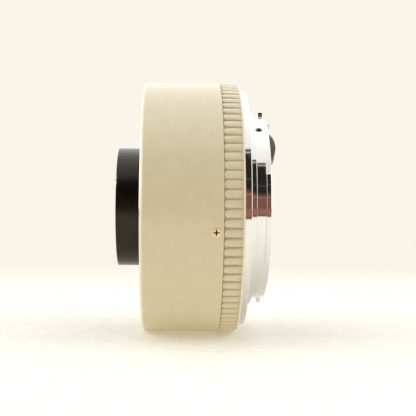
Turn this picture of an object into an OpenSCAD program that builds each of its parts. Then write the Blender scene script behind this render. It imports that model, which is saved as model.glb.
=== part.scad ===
// Camera teleconverter: a short optical barrel with a male three-lug bayonet on the camera
// side, a female bayonet on the lens side and a front lens tube that reaches into the lens.
// The optical axis is X, and +X points to the camera. The origin is on the optical axis, in the
// plane of the camera mount face. A turn is an angle about X, counted from straight up (+Z)
// towards -Y. All sizes are in millimetres.

/* [Body] */
// Outside diameter of the barrel shell and the grip ring
body_d = 68.2; // [61:0.1:75]
// Wall of the barrel shell
shell_wall = 1.95; // [1.7:0.05:2.3]
// Distance from the lens mount face to the camera mount face
mount_gap = 27.3; // [24.5:0.1:32]
// How far the front rim of the shell stays behind the lens mount face
rim_drop = 0.2; // [0:0.05:0.5]
// Size of the rounded bevel on the front rim
rim_bevel = 1.35; // [0.8:0.05:1.6]
// Width of the open seam between the shell and the grip ring
seam_gap = 0.15; // [0.05:0.05:0.4]
// Small bevel on both edges of that seam
seam_bevel = 0.25; // [0.1:0.05:0.5]
// Radial clearance of rings that slide over the frame
slip_fit = 0.05; // [0.02:0.01:0.1]

/* [Grip ring] */
// Length of the grip ring along the optical axis
grip_w = 5; // [4.2:0.1:6.5]
// How far the grip ring reaches in past the outside of the frame
grip_step = 0.9; // [0.6:0.05:1.2]
// Number of ribs round the ring
grip_ribs = 90; // [60:1:100]
// Turn by which the ribs are shifted from the top
rib_turn = 0.6; // [0:0.1:4]
// Width of the groove between two ribs, at its mouth
groove_mouth = 0.8; // [0.6:0.02:1]
// Width of that groove at its bottom
groove_floor = 0.2; // [0.1:0.02:0.3]
// Depth of the groove
groove_depth = 0.45; // [0.2:0.05:0.6]
// Length of the smooth bevel at the camera end of the ribs
grip_bevel = 0.45; // [0.3:0.05:1.2]
// Height of that bevel
grip_bevel_h = 0.5; // [0.3:0.05:0.8]

/* [Camera mount] */
// Width of the mount flange outside the pilot
flange_rim = 5.5; // [5:0.05:6]
// Thickness of the camera mount flange
flange_t = 1.75; // [1.5:0.05:2.2]
// Height of the pilot above the mount face
pilot_h = 1.75; // [1.5:0.05:2]
// Step from the pilot down to the spigot
spigot_step = 1.7; // [1.5:0.05:1.9]
// Wall of the spigot
spigot_wall = 1.6; // [1.4:0.05:1.8]
// Height of the whole bayonet above the mount face
mount_h = 5.55; // [5.2:0.05:6]
// Lead-in taper of the spigot between its lugs
spigot_taper = 0.17; // [0.1:0.01:0.3]
// How far the spigot reaches past the lugs
spigot_lead = 0.3; // [0.2:0.05:0.5]
// How far the lugs stay inside the pilot's radius
lug_drop = 0.2; // [0.1:0.05:0.4]
// Thickness of a lug
lug_t = 1.15; // [1:0.05:1.4]
// Turn at which each lug starts
lug_starts = [71, 182, 311];
// Angle that each lug covers
lug_spans = [52, 61, 52];
// Bevel on the turned edges of the mounts
mount_bevel = 0.2; // [0.1:0.05:0.3]
// Thickness of the focus shim under the camera mount
shim_t = 0.2; // [0.1:0.05:0.4]

/* [Lens mount] */
// Thickness of the lens mount flange
lens_flange_t = 1.8; // [1.6:0.05:2.2]
// Wall of the lens mount ring round its throat
lens_wall = 1.35; // [1.1:0.05:1.6]
// Radial clearance between a mating bayonet and this mount
mate_fit = 0.1; // [0.05:0.01:0.2]
// Angle that a mating lens turns from insertion to lock
lock_swing = 60; // [58:1:62]
// Angle left free on each side of a tab, for a mating lug to pass
tab_margin = 4; // [3:0.5:6]
// Room left round the lugs of a mating lens
lug_room = 0.6; // [0.5:0.05:0.9]
// Width of the ledge that carries the well plate
ledge_w = 2; // [1.8:0.05:2.2]
// How far the leaf spring's ring reaches in past the wall of the well
leaf_lip = 0.2; // [0.1:0.05:0.4]
// Gap on both sides of a finger of the leaf spring
finger_gap = 0.5; // [0.4:0.05:0.6]
// Thickness of the leaf spring behind the tabs
leaf_t = 0.3; // [0.2:0.05:0.4]
// Depth of the well that takes the back of the lens
well_depth = 8.2; // [8:0.1:9]
// Thickness of the plate that closes the well
well_plate_t = 0.8; // [0.6:0.1:1]
// Clearance round that plate and its opening
plate_fit = 0.1; // [0.05:0.01:0.15]

/* [Front tube] */
// Share of the room inside the contact blocks that the front tube fills
tube_share = 0.8125; // [0.74:0.0005:0.84]
// How far the tube stands out of the lens mount face
tube_reach = 6.8; // [6:0.1:8]
// Bevel on the rim of the tube
tube_bevel = 0.2; // [0.1:0.05:0.6]
// Distance of the edge of the tube's flange from the row of contacts
tube_flange_gap = 1; // [0.9:0.05:1.2]
// Thickness of that flange
tube_flange_t = 1.8; // [1.6:0.1:2.2]
// Radial clearance between the tube and what it passes through
tube_clear = 0.9; // [0.6:0.1:1.2]

/* [Optics] */
// Front element: its radius as a share of the tube's, the radii of its front and rear face as
// multiples of its own radius, and its thickness at the thinnest place
front_glass = [0.8165, 4.7, -7.2, 1.26];
// First element of the cemented pair
pair_front_glass = [0.779, -3.57, 2.22, 1.6];
// Second element of the cemented pair
pair_rear_glass = [0.779, 2.22, -4.76, 0.87];
// Fourth element
fourth_glass = [0.73, -3.22, 5.08, 1.6];
// Rear element
rear_glass = [0.767, 3.87, -4.19, 1.87];
// Depth of the front element's edge behind the tube's rim
front_seat_depth = 2.5; // [2.3:0.1:3]
// Length of the shoulder between the front element and the cemented pair
shoulder_l = 2; // [1.6:0.1:2.6]
// Length of each spacer ring at the elements' edges
spacer_l = 1.76; // [1.6:0.02:2.4]
// Length of the rear retaining ring
rear_ring_l = 1.9; // [1.5:0.1:2.5]
// Width of the seat that a ring has on the edge of an element
seat_w = 0.9; // [0.6:0.1:1.1]
// How far the rear retaining ring stays inside the tube's end
ring_inset = 0.3; // [0.2:0.1:0.6]
// Width of the spanner slots in the two retaining rings
slot_w = 1; // [0.8:0.1:1.2]
// Depth of those slots
slot_depth = 0.6; // [0.4:0.1:0.8]
// Width of a retaining ring at its open end
ring_lip = 0.6; // [0.5:0.05:0.8]
// Radial clearance round the elements and their rings
glass_fit = 0.03; // [0.01:0.01:0.06]

/* [Contacts] */
// Turn of the middle of both contact blocks
contact_turn = 37; // [36:1:38]
// Distance of the row of contacts from the bore of the camera mount
contact_inset = 1.8; // [1.7:0.05:2]
// Number of sprung pins on the lens side
pin_count = 10; // [6:1:10]
// Angle between two pins
pin_pitch = 5.2; // [4.8:0.1:5.4]
// Diameter of a pin
pin_d = 1; // [0.8:0.05:1.1]
// Diameter of the collar that holds a pin in the block
pin_collar_d = 1.36; // [1.26:0.02:1.42]
// Height of that collar
pin_collar_h = 0.5; // [0.3:0.05:0.6]
// How far a pressed pin still stands out of its block
pin_rest = 0.4; // [0.2:0.05:0.5]
// How far a pin can be pressed
pin_travel = 0.8; // [0.5:0.05:0.9]
// Radial clearance of a pin in its hole
pin_fit = 0.05; // [0.02:0.01:0.07]
// Radial width of both contact blocks
contact_block_w = 3.2; // [3:0.1:3.3]
// Angle that the lens side block covers
contact_block_span = 64; // [63:1:66]
// How far the lens side block stands above the floor of the well
contact_block_h = 1.2; // [1:0.1:1.4]
// Height of the large hump of the camera side block above the mount face
hump_h = 7.2; // [6.8:0.1:7.4]
// Height of its small hump
small_hump_h = 6.95; // [6.6:0.05:7.2]
// Height of the camera side block between the humps
block_low_h = 5; // [4.6:0.1:5.2]
// Angle from the middle of the block to its large hump
hump_shift = 8.5; // [8:0.5:10]
// Half of the angle that the large hump covers
hump_half = 16.5; // [15:0.5:17]
// Angle from the middle of the block back to its small hump
small_hump_shift = 25.5; // [25:0.5:26]
// Half of the angle that the small hump covers
small_hump_half = 14.5; // [13:0.5:15]
// Angle that the camera side block covers
block_span = 68; // [67:1:70]
// Angle by which that block is shifted back from its contacts
block_shift = 6.5; // [6:0.5:7]
// Thickness of the gold contacts
contact_t = 0.12; // [0.08:0.02:0.2]
// How deep the contacts of the large hump lie below its top
contact_sink = 0.03; // [0:0.01:0.06]
// Clearance round each gold contact in its pocket
contact_fit = 0.02; // [0.01:0.01:0.04]
// Depth of the two contacts that reach down the outer side of the small hump
side_contact_h = 0.9; // [0.6:0.1:1.2]
// How far those two stand out from the small hump
side_contact_rise = 0.3; // [0.2:0.05:0.4]
// Angle from the small hump to those two contacts
side_contact_shift = 7; // [6:0.5:7]
// Angle from the middle of the contacts back to the screw of their block
contact_screw_shift = 1.5; // [0:0.5:3]
// Angle between two gold contacts
contact_pad_pitch = 5.4; // [4.6:0.1:5.8]
// Angle that each gold contact covers
contact_pad_span = 3.2; // [2.4:0.1:3.8]
// Radial width of a gold contact
contact_pad_w = 2.2; // [1.8:0.1:2.6]
// Thickness of the lens side block in front of the pins' collars
pin_wall = 1.1; // [0.9:0.05:1.2]
// Angle from the last pin to the screw of its block
block_screw_gap = 4.2; // [4:0.1:4.6]

/* [Circuit board] */
// Thickness of the circuit board
board_t = 0.8; // [0.6:0.1:1]
// Clearance round both edges of the circuit board
board_margin = 0.25; // [0.15:0.05:0.4]
// Gap between the back of the well plate and the board
board_gap = 1.4; // [1.3:0.1:1.8]
// Height of the bosses that carry the board
boss_h = 1.2; // [1:0.1:1.6]
// Diameter of those bosses
boss_d = 3; // [2.8:0.1:3.2]
// Thickness of the web that carries the front tube
web_t = 2.4; // [2.2:0.1:3]
// Width of the flexible strip
flex_w = 6; // [5:0.5:7]
// Thickness of the flexible strip
flex_t = 0.3; // [0.2:0.05:0.4]

/* [Rear baffle] */
// Thickness of the plate of the rear baffle
baffle_t = 1.2; // [1:0.1:1.5]
// Clearance round that plate
baffle_fit = 0.05; // [0.02:0.01:0.1]
// Wall of the funnel
funnel_wall = 0.8; // [0.6:0.1:1]
// Steps of the funnel
funnel_steps = 4; // [3:1:6]
// Gap between the end of the tube and the funnel
funnel_gap = 0.5; // [0.3:0.1:0.8]

/* [Release] */
// Turn of the lock pin and its slider
lock_turn = 307; // [305:1:309]
// Distance of the lock pin from the edge of the flange
lock_inset = 2.1; // [1.9:0.05:2.3]
// Diameter of the lock pin
lock_pin_d = 2.2; // [2:0.05:2.3]
// Length of the lock pin
lock_pin_l = 12; // [11.5:0.1:13]
// How far the lock pin stands out of the lens mount face
lock_reach = 1.5; // [1.2:0.1:1.8]
// Travel of the slider and the lock pin
release_travel = 2; // [1.8:0.1:2.2]
// Running clearance of the lock pin and its post
release_fit = 0.05; // [0.02:0.01:0.08]
// Diameter of the post that joins the slider to the lock pin
post_d = 2; // [1.8:0.05:2.1]
// Diameter of the end of the post inside the lock pin
post_tip_d = 1.1; // [0.9:0.05:1.2]
// Distance of the middle of the slider from the lens mount face
slider_inset = 7.3; // [7:0.1:8]
// Length of the slider along the optical axis
slider_l = 6.4; // [6:0.1:7]
// Angle that the slider covers
slider_span = 15; // [13:0.5:17]
// Height of the slider above the shell
slider_h = 1.1; // [0.8:0.1:1.4]
// Depth of the shell's recess under the slider
slider_recess = 0.6; // [0.4:0.05:0.7]
// Clearance round and under the slider
slider_fit = 0.2; // [0.1:0.05:0.3]
// Number of ridges on the slider
slider_ridges = 5; // [3:1:6]
// Depth of the lock pin's spring pocket behind the pin
lock_spring_l = 6; // [5.5:0.1:7]
// Wire diameter of the lock spring
lock_wire_d = 0.26; // [0.2:0.02:0.3]
// Coils of the lock spring
lock_coils = 6; // [4:1:7]
// Wire diameter of a contact spring
pin_wire_d = 0.16; // [0.12:0.02:0.2]
// Coils of a contact spring
pin_coils = 2.5; // [2:0.5:3]

/* [Fasteners] */
// Head diameter of the screws that hold the shell
shell_screw_head_d = 2.5; // [2.2:0.1:2.8]
// Thread diameter of the screws that hold the shell
shell_screw_d = 1.4; // [1.2:0.1:1.6]
// Length of the screws that hold the shell
shell_screw_l = 4.2; // [3.6:0.1:4.6]
// Distance of those screws from the end of the shell
shell_screw_inset = 1.8; // [1.6:0.1:2.6]
// Turn of the first of the four screws that hold the shell
shell_screw_turn = 10.3; // [8:0.1:12]
// Head diameter of the screws that hold both mounts
mount_screw_head_d = 3; // [2.6:0.1:3.2]
// Thread diameter of the screws that hold both mounts
mount_screw_d = 1.6; // [1.4:0.1:1.7]
// Length of the screws that hold both mounts
mount_screw_l = 5; // [4.5:0.1:5.5]
// Distance of the mount screws from the edge of the flange
mount_screw_inset = 2.5; // [2.3:0.05:2.6]
// Turn of the first of the four mount screws
mount_screw_turn = 82; // [81:1:84]
// Head diameter of the small inner screws
small_screw_head_d = 1.9; // [1.6:0.1:2]
// Thread diameter of the small inner screws
small_screw_d = 1.1; // [1:0.05:1.2]
// Depth to which a small screw goes into its thread
screw_bite = 1.8; // [1.5:0.05:2]
// Height of the head of a mount or shell screw
head_h = 0.75; // [0.6:0.05:0.8]
// Height of the head of a small screw
small_head_h = 0.5; // [0.4:0.05:0.6]
// Width of the cross recess in a screw head
recess_w = 0.3; // [0.2:0.02:0.36]
// Radial clearance of every screw in its hole
screw_fit = 0.03; // [0.02:0.01:0.05]
// Diameter of the index dots
dot_d = 2.4; // [2:0.1:2.6]
// How far an index dot is let into its surface
dot_depth = 0.8; // [0.6:0.1:1]
// How far an index dot stands proud
dot_proud = 0.12; // [0.05:0.01:0.2]
// Diameter of the smooth pad round the dot on the grip ring
dot_pad_d = 3.4; // [3:0.1:3.6]

/* [Hidden] */
$fn = 96;
over = 0.5; // how far a cut reaches past the material
full_turn = 360;
half_turn = 180;
quarter = 90;
third = 120;
cream = [0.80, 0.74, 0.60];
black = [0.09, 0.09, 0.09];
soft_black = [0.14, 0.14, 0.14];
chrome = [0.86, 0.87, 0.88];
steel = [0.70, 0.71, 0.72];
brass = [0.83, 0.70, 0.42];
gold = [0.90, 0.74, 0.36];
glass = [0.72, 0.82, 0.84, 0.5];
board_green = [0.10, 0.32, 0.20];
amber = [0.72, 0.47, 0.16];
red = [0.78, 0.10, 0.08];

// Radii from the outside in: the mounts follow the body
body_r = body_d / 2;
shell_in_r = body_r - shell_wall;
frame_r = shell_in_r - slip_fit;
grip_in_r = frame_r - grip_step;
grip_wall = body_r - grip_in_r;
frame_spigot_r = grip_in_r - slip_fit;
pilot_r = frame_r - flange_rim;
lug_r = pilot_r - lug_drop;
spigot_r = pilot_r - spigot_step;
mount_bore_r = spigot_r - spigot_wall;
contact_r = mount_bore_r - contact_inset;
mount_screw_r = frame_r - mount_screw_inset;
lock_r = frame_r - lock_inset;
throat_r = pilot_r + mate_fit;
lens_wall_r = throat_r + lens_wall;
tab_r = spigot_r + mate_fit;
lug_room_r = lug_r + mate_fit + lug_room;
cavity_r = lug_room_r - ledge_w;
block_in_r = contact_r - contact_block_w / 2;
block_out_r = contact_r + contact_block_w / 2;
tube_r = block_in_r * tube_share;
web_in_r = tube_r + tube_clear;
tube_flange_r = contact_r - tube_flange_gap;
board_in_r = web_in_r + board_margin;
board_out_r = cavity_r - board_margin;

// Stations along the optical axis
lug_end = mount_h - spigot_lead;
lug_base = lug_end - lug_t;
lens_face = -mount_gap;
frame_front = lens_face + lens_flange_t;
grip_end = -flange_t;
grip_start = grip_end - grip_w;
frame_end = -flange_t - shim_t;
shell_start = lens_face + rim_drop;
shell_end = grip_start - seam_gap;
shell_screw_x = shell_end - shell_screw_inset;
tab_front = lens_face + pilot_h + mate_fit;
tab_back = lens_face + lug_base - mate_fit;
leaf_back = tab_back + leaf_t;
well_floor = lens_face + well_depth;
well_plate_back = well_floor + well_plate_t;
board_front = well_plate_back + board_gap;
board_back = board_front + board_t;
web_front = board_back + boss_h;
web_back = web_front + web_t;
tube_flange_back = web_back + tube_flange_t;

// Screws and seats
screw_count = 4;
shell_screw_turns = [for (k = [0:screw_count - 1]) shell_screw_turn + k * quarter];
mount_screw_turns = [for (k = [0:screw_count - 1]) mount_screw_turn + k * quarter];
tube_screw_count = 3;
tube_screw_r = (web_in_r + tube_flange_r) / 2;
tube_screw_turns = [for (k = [0:tube_screw_count - 1]) contact_turn + 60 + k * third];
tube_screw_l = tube_flange_t + screw_bite;
board_screw_turns = [contact_turn + third, contact_turn + 2 * third];
well_screw_turns = [contact_turn + 75, contact_turn + half_turn, contact_turn - 75];
well_screw_r = lug_room_r - ledge_w * 0.6;
well_screw_l = well_plate_t + screw_bite;

// Turns a profile of [radius, station] points about the optical axis
module revolve() rotate([0, 90, 0]) rotate_extrude() children();

// The same over part of a turn, centred on one turn
module sector(turn, span) rotate([turn - span / 2, 0, 0]) rotate([0, 90, 0])
    rotate([0, 0, half_turn]) rotate_extrude(angle = span) children();

// A plain ring between two radii and two stations
module ring(r_in, r_out, x0, x1) revolve() translate([r_in, x0]) square([r_out - r_in, x1 - x0]);

// Part of such a ring
module arc_block(r_in, r_out, x0, x1, turn, span)
    sector(turn, span) translate([r_in, x0]) square([r_out - r_in, x1 - x0]);

// A place at a turn, a station and a radius, with Z pointing outwards
module at(turn, x, r) rotate([turn, 0, 0]) translate([x, 0, r]) children();

// The same place with Z pointing to the lens or to the camera
module to_lens(turn, x, r) at(turn, x, r) rotate([0, -90, 0]) children();
module to_camera(turn, x, r) at(turn, x, r) rotate([0, 90, 0]) children();

// A countersunk cross-head screw whose head is flush at Z = 0
module screw(head_d, head_h, thread_d, length) difference() {
    union() {
        translate([0, 0, -head_h]) cylinder(h = head_h, d1 = thread_d, d2 = head_d);
        translate([0, 0, -length]) cylinder(h = length - head_h, d = thread_d);
    }
    for (side = [0, quarter]) rotate([0, 0, side]) translate([0, 0, -head_h / 4])
        cube([head_d * 0.62, recess_w, head_h], center = true);
}

// The hole for such a screw, open to the outside
module screw_hole(head_d, head_h, thread_d, length) union() {
    translate([0, 0, -head_h])
        cylinder(h = head_h, d1 = thread_d + 2 * screw_fit, d2 = head_d + 2 * screw_fit);
    translate([0, 0, -length - screw_fit]) cylinder(h = length, d = thread_d + 2 * screw_fit);
    cylinder(h = over, d = head_d + 2 * screw_fit);
}

module shell_screw() screw(shell_screw_head_d, head_h, shell_screw_d, shell_screw_l);
module shell_screw_hole() screw_hole(shell_screw_head_d, head_h, shell_screw_d, shell_screw_l);
module mount_screw() screw(mount_screw_head_d, head_h, mount_screw_d, mount_screw_l);
module mount_screw_hole() screw_hole(mount_screw_head_d, head_h, mount_screw_d, mount_screw_l);
module small_screw(length) screw(small_screw_head_d, small_head_h, small_screw_d, length);
module small_screw_hole(length)
    screw_hole(small_screw_head_d, small_head_h, small_screw_d, length);

// A round index dot with a domed top, and its seat
module index_dot() intersection() {
    translate([0, 0, -dot_depth]) cylinder(h = dot_depth + dot_proud, d = dot_d);
    translate([0, 0, dot_proud - dot_d * 1.5]) sphere(r = dot_d * 1.5);
}
module index_dot_seat() translate([0, 0, -dot_depth - screw_fit])
    cylinder(h = dot_depth + dot_d, d = dot_d + 2 * screw_fit);

// Barrel shell with its rounded rim, screw seats and the recess of the release slider
lens_dot_turn = contact_turn + half_turn;
lens_dot_x = shell_start + rim_bevel + dot_d;
rim_steps = 6;
module barrel_shell() color(cream) difference() {
    revolve() polygon(concat(
        [[shell_in_r, shell_start]],
        [for (k = [0:rim_steps]) let (t = quarter * k / rim_steps)
            [body_r - rim_bevel * (1 - sin(t)), shell_start + rim_bevel * (1 - cos(t))]],
        [[body_r, shell_end - seam_bevel], [body_r - seam_bevel, shell_end],
         [shell_in_r, shell_end]]));
    for (t = shell_screw_turns) at(t, shell_screw_x, body_r) shell_screw_hole();
    at(lens_dot_turn, lens_dot_x, body_r) index_dot_seat();
    slider_recess_cut();
    post_slot(body_r + over);
}

module barrel_screws() color(brass)
    for (t = shell_screw_turns) at(t, shell_screw_x, body_r) shell_screw();

// Grip ring: straight ribs that run out into a bevel at the camera end
camera_dot_turn = contact_turn + 2 * third;
camera_dot_x = (grip_start + grip_end - grip_bevel) / 2;
rib_pitch = full_turn / grip_ribs;
module rib_outline() {
    mouth = groove_mouth / body_r * 90 / PI;
    floor = groove_floor / body_r * 90 / PI;
    low = body_r - groove_depth;
    // the walls of a groove are carried on past the outside in the same slope
    high = body_r + groove_depth;
    wide = 2 * mouth - floor;
    polygon([for (k = [0:grip_ribs - 1]) let (mid = rib_turn + (k + 0.5) * rib_pitch)
        for (p = [[high, -wide], [low, -floor], [low, floor], [high, wide]])
            p[0] * [-cos(mid + p[1]), -sin(mid + p[1])]]);
}
module grip_ring() color(cream) difference() {
    union() {
        intersection() {
            revolve() polygon([
                [grip_in_r, grip_start], [body_r - seam_bevel, grip_start],
                [body_r, grip_start + seam_bevel], [body_r, grip_end - grip_bevel],
                [body_r - grip_bevel_h, grip_end], [grip_in_r, grip_end]]);
            translate([grip_start - over, 0, 0]) rotate([0, 90, 0])
                linear_extrude(grip_w + 2 * over) rib_outline();
        }
        // a smooth round pad interrupts the ribs under the index dot
        intersection() {
            ring(grip_in_r, body_r, grip_start, grip_end - grip_bevel);
            at(camera_dot_turn, camera_dot_x, grip_in_r)
                cylinder(h = grip_wall + over, d = dot_pad_d);
        }
    }
    at(camera_dot_turn, camera_dot_x, body_r) index_dot_seat();
}

module lens_index_dot() color(red) at(lens_dot_turn, lens_dot_x, body_r) index_dot();
module camera_index_dot() color(red) at(camera_dot_turn, camera_dot_x, body_r) index_dot();

// Main frame: one tube with the web that carries the optics and all the screw bosses
baffle_r = lug_room_r - lug_room * 0.65;
baffle_seat = -flange_t - baffle_t;
block_screw_span = (pin_count - 1) * pin_pitch / 2 + block_screw_gap;
block_screw_turns = [contact_turn - block_screw_span, contact_turn + block_screw_span];
boss_turns = concat(board_screw_turns, block_screw_turns);
block_front = well_floor - contact_block_h;
block_screw_l = web_front - block_front + boss_h / 2;
board_screw_l = board_t + boss_h * 1.5;
module main_frame() color(soft_black) difference() {
    union() {
        revolve() polygon([
            [lens_wall_r + slip_fit, frame_front], [frame_r, frame_front],
            [frame_r, grip_start], [frame_spigot_r, grip_start],
            [frame_spigot_r, frame_end], [baffle_r + baffle_fit, frame_end],
            [baffle_r + baffle_fit, baffle_seat], [cavity_r, baffle_seat],
            [cavity_r, web_back], [web_in_r, web_back],
            [web_in_r, web_front], [cavity_r, web_front],
            [cavity_r, well_plate_back], [lug_room_r, well_plate_back],
            [lug_room_r, leaf_back], [lens_wall_r + slip_fit, leaf_back]]);
        for (t = boss_turns) to_lens(t, web_front + over, contact_r)
            cylinder(h = boss_h + over, d = boss_d);
    }
    for (t = shell_screw_turns) at(t, shell_screw_x, body_r) shell_screw_hole();
    for (t = mount_screw_turns) {
        to_lens(t, lens_face, mount_screw_r) mount_screw_hole();
        to_camera(t, 0, mount_screw_r) mount_screw_hole();
    }
    for (t = tube_screw_turns) to_camera(t, tube_flange_back, tube_screw_r)
        small_screw_hole(tube_screw_l);
    for (t = board_screw_turns) to_lens(t, board_front, contact_r) small_screw_hole(board_screw_l);
    for (t = block_screw_turns) to_lens(t, block_front, contact_r) small_screw_hole(block_screw_l);
    for (t = well_screw_turns) to_lens(t, well_floor, well_screw_r) small_screw_hole(well_screw_l);
    flex_slot();
    lock_bore(frame_front - over);
    post_slot(frame_r + over);
}

// Lens mount: flange, throat and three tabs that hold the lugs of a mating lens
tab_spans = [for (k = [0:2]) let (next = (k + 1) % 3,
    gap = (lug_starts[next] + (next == 0 ? full_turn : 0)) - lug_starts[k] - lug_spans[k])
    gap - 2 * tab_margin];
tab_turns = [for (k = [0:2]) lug_starts[k] + lug_spans[k] + tab_margin + tab_spans[k] / 2
    + lock_swing];
module lens_mount_ring() color(chrome) difference() {
    union() {
        revolve() polygon([
            [throat_r + mount_bevel, lens_face], [frame_r - mount_bevel, lens_face],
            [frame_r, lens_face + mount_bevel], [frame_r, frame_front],
            [lens_wall_r, frame_front], [lens_wall_r, tab_back],
            [throat_r, tab_back], [throat_r, lens_face + mount_bevel]]);
        for (k = [0:2]) arc_block(tab_r, throat_r + lens_wall / 2, tab_front, tab_back,
            tab_turns[k], tab_spans[k]);
    }
    for (t = mount_screw_turns) to_lens(t, lens_face, mount_screw_r) mount_screw_hole();
    lock_bore(lens_face - over);
}

module lens_mount_screws() color(steel)
    for (t = mount_screw_turns) to_lens(t, lens_face, mount_screw_r) mount_screw();

// Leaf spring: a thin ring with a curved finger behind each tab
finger_share = 0.8;
finger_root = 12;
module lens_mount_spring() color(steel) union() {
    ring(lug_room_r - leaf_lip, lens_wall_r, tab_back, leaf_back);
    for (k = [0:2]) {
        arc_block(tab_r + finger_gap, lug_room_r - leaf_lip - finger_gap, tab_back, leaf_back,
            tab_turns[k], tab_spans[k] * finger_share);
        arc_block(tab_r + finger_gap, lug_room_r, tab_back, leaf_back,
            tab_turns[k] - tab_spans[k] * finger_share / 2 + finger_root / 2, finger_root);
    }
}

// Camera mount: flange, pilot, spigot and three lugs, turned from one piece
contact_screw_x = pilot_h + (lug_base - pilot_h) * 0.56;
contact_screw_l = contact_inset + screw_bite / 2;
contact_screw_turn = contact_turn - contact_screw_shift;
lock_hole_d = lock_pin_d + 6 * release_fit;
module camera_mount_ring() color(chrome) difference() {
    union() {
        revolve() polygon([
            [mount_bore_r, -flange_t], [frame_r - mount_bevel, -flange_t],
            [frame_r, mount_bevel - flange_t], [frame_r, -mount_bevel],
            [frame_r - mount_bevel, 0], [pilot_r, 0],
            [pilot_r, pilot_h - mount_bevel], [pilot_r - mount_bevel, pilot_h],
            [spigot_r, pilot_h], [spigot_r, lug_base],
            [spigot_r - spigot_taper, mount_h - mount_bevel],
            [spigot_r - spigot_taper - mount_bevel, mount_h], [mount_bore_r, mount_h]]);
        for (k = [0:2]) sector(lug_starts[k] + lug_spans[k] / 2, lug_spans[k]) polygon([
            [spigot_r - spigot_wall / 2, lug_base], [lug_r - mount_bevel, lug_base],
            [lug_r, lug_base + mount_bevel], [lug_r, lug_end - mount_bevel],
            [lug_r - mount_bevel, lug_end], [spigot_r - spigot_wall / 2, lug_end]]);
    }
    for (t = mount_screw_turns) to_camera(t, 0, mount_screw_r) mount_screw_hole();
    at(contact_screw_turn, contact_screw_x, spigot_r) small_screw_hole(contact_screw_l);
    to_camera(lock_turn, over, lock_r) translate([0, 0, -flange_t - 2 * over])
        cylinder(h = flange_t + 2 * over + over, d = lock_hole_d);
}

module camera_mount_screws() color(steel)
    for (t = mount_screw_turns) to_camera(t, 0, mount_screw_r) mount_screw();

module camera_mount_shim() color(brass) difference() {
    ring(baffle_r + 2 * baffle_fit, frame_spigot_r, frame_end, -flange_t);
    for (t = mount_screw_turns) to_camera(t, 0, mount_screw_r) mount_screw_hole();
}

// Optics: each element is bounded by two spheres and a ground edge
function sag(radius, r) = abs(radius) - sqrt(radius * radius - r * r);
// radius, radii of both faces and thickness on the axis of an element, from its shares
function ground(g) = let (r = g[0] * tube_r, front = g[1] * r, rear = g[2] * r)
    [r, front, rear, g[3] + (front > 0 ? sag(front, r) : 0) + (rear < 0 ? sag(rear, r) : 0)];
front_lens = ground(front_glass);
pair_front_lens = ground(pair_front_glass);
pair_rear_lens = ground(pair_rear_glass);
fourth_lens = ground(fourth_glass);
rear_lens = ground(rear_glass);
// stations of an element's two faces at a radius, from the station of its front vertex
function front_at(g, vertex, r) = vertex + sign(g[1]) * sag(g[1], r);
function rear_at(g, vertex, r) = vertex + g[3] + sign(g[2]) * sag(g[2], r);

// the elements follow one another from the front, each seated on the ring before it
tube_front = lens_face - tube_reach;
front_seat_r = front_lens[0] - seat_w;
fourth_seat_r = fourth_lens[0] - seat_w;
rear_seat_r = rear_lens[0] - seat_w;
shoulder_r = min(front_lens[0], pair_front_lens[0]) - seat_w;
front_vertex = tube_front + front_seat_depth - sag(front_lens[1], front_lens[0]);
shoulder_x = rear_at(front_lens, front_vertex, shoulder_r);
pair_edge = shoulder_x + shoulder_l;
pair_vertex = pair_edge + sag(pair_front_lens[1], pair_front_lens[0]);
pair_joint = pair_vertex + pair_front_lens[3];
front_spacer_x = rear_at(pair_rear_lens, pair_joint, fourth_seat_r);
fourth_edge = front_spacer_x + spacer_l;
fourth_vertex = fourth_edge + sag(fourth_lens[1], fourth_lens[0]);
rear_spacer_x = rear_at(fourth_lens, fourth_vertex, fourth_lens[0]);
rear_seat_x = rear_spacer_x + spacer_l;
rear_vertex = rear_seat_x - sag(rear_lens[1], rear_seat_r);
rear_ring_x = rear_at(rear_lens, rear_vertex, rear_seat_r);
tube_end = rear_ring_x + rear_ring_l + ring_inset;

// drawn as half a section with fine circles, so that both faces turn into true spheres
arc_steps = 1440;
module ball(radius, vertex) translate([0, vertex + radius]) circle(r = abs(radius), $fn = arc_steps);
module element(g, vertex) color(glass) {
    first = min(vertex, front_at(g, vertex, g[0]));
    last = max(vertex + g[3], rear_at(g, vertex, g[0]));
    revolve() difference() {
        intersection() {
            translate([0, first]) square([g[0], last - first]);
            if (g[1] > 0) ball(g[1], vertex);
            if (g[2] < 0) ball(g[2], vertex + g[3]);
        }
        if (g[1] < 0) ball(g[1], vertex);
        if (g[2] > 0) ball(g[2], vertex + g[3]);
    }
}
module front_element() element(front_lens, front_vertex);
module pair_front_element() element(pair_front_lens, pair_vertex);
module pair_rear_element() element(pair_rear_lens, pair_joint);
module fourth_element() element(fourth_lens, fourth_vertex);
module rear_element() element(rear_lens, rear_vertex);

// Front tube: bored in steps from both ends round a shoulder, with a flange at the web
front_bore_r = front_lens[0] + glass_fit;
pair_bore_r = max(pair_front_lens[0], rear_lens[0]) + glass_fit;
hood_bevel = (tube_r - front_bore_r) * 0.32;
module front_tube() color(black) difference() {
    revolve() polygon([
        [front_bore_r + hood_bevel, tube_front], [tube_r - tube_bevel, tube_front],
        [tube_r, tube_front + tube_bevel], [tube_r, web_back],
        [tube_flange_r, web_back], [tube_flange_r, tube_flange_back],
        [tube_r, tube_flange_back], [tube_r, tube_end],
        [pair_bore_r, tube_end], [pair_bore_r, pair_edge],
        [shoulder_r, pair_edge], [shoulder_r, shoulder_x],
        [front_bore_r, shoulder_x], [front_bore_r, tube_front + hood_bevel]]);
    for (t = tube_screw_turns) to_camera(t, tube_flange_back, tube_screw_r)
        small_screw_hole(tube_screw_l);
}
module front_tube_screws() color(steel)
    for (t = tube_screw_turns) to_camera(t, tube_flange_back, tube_screw_r)
        small_screw(tube_screw_l);

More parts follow.
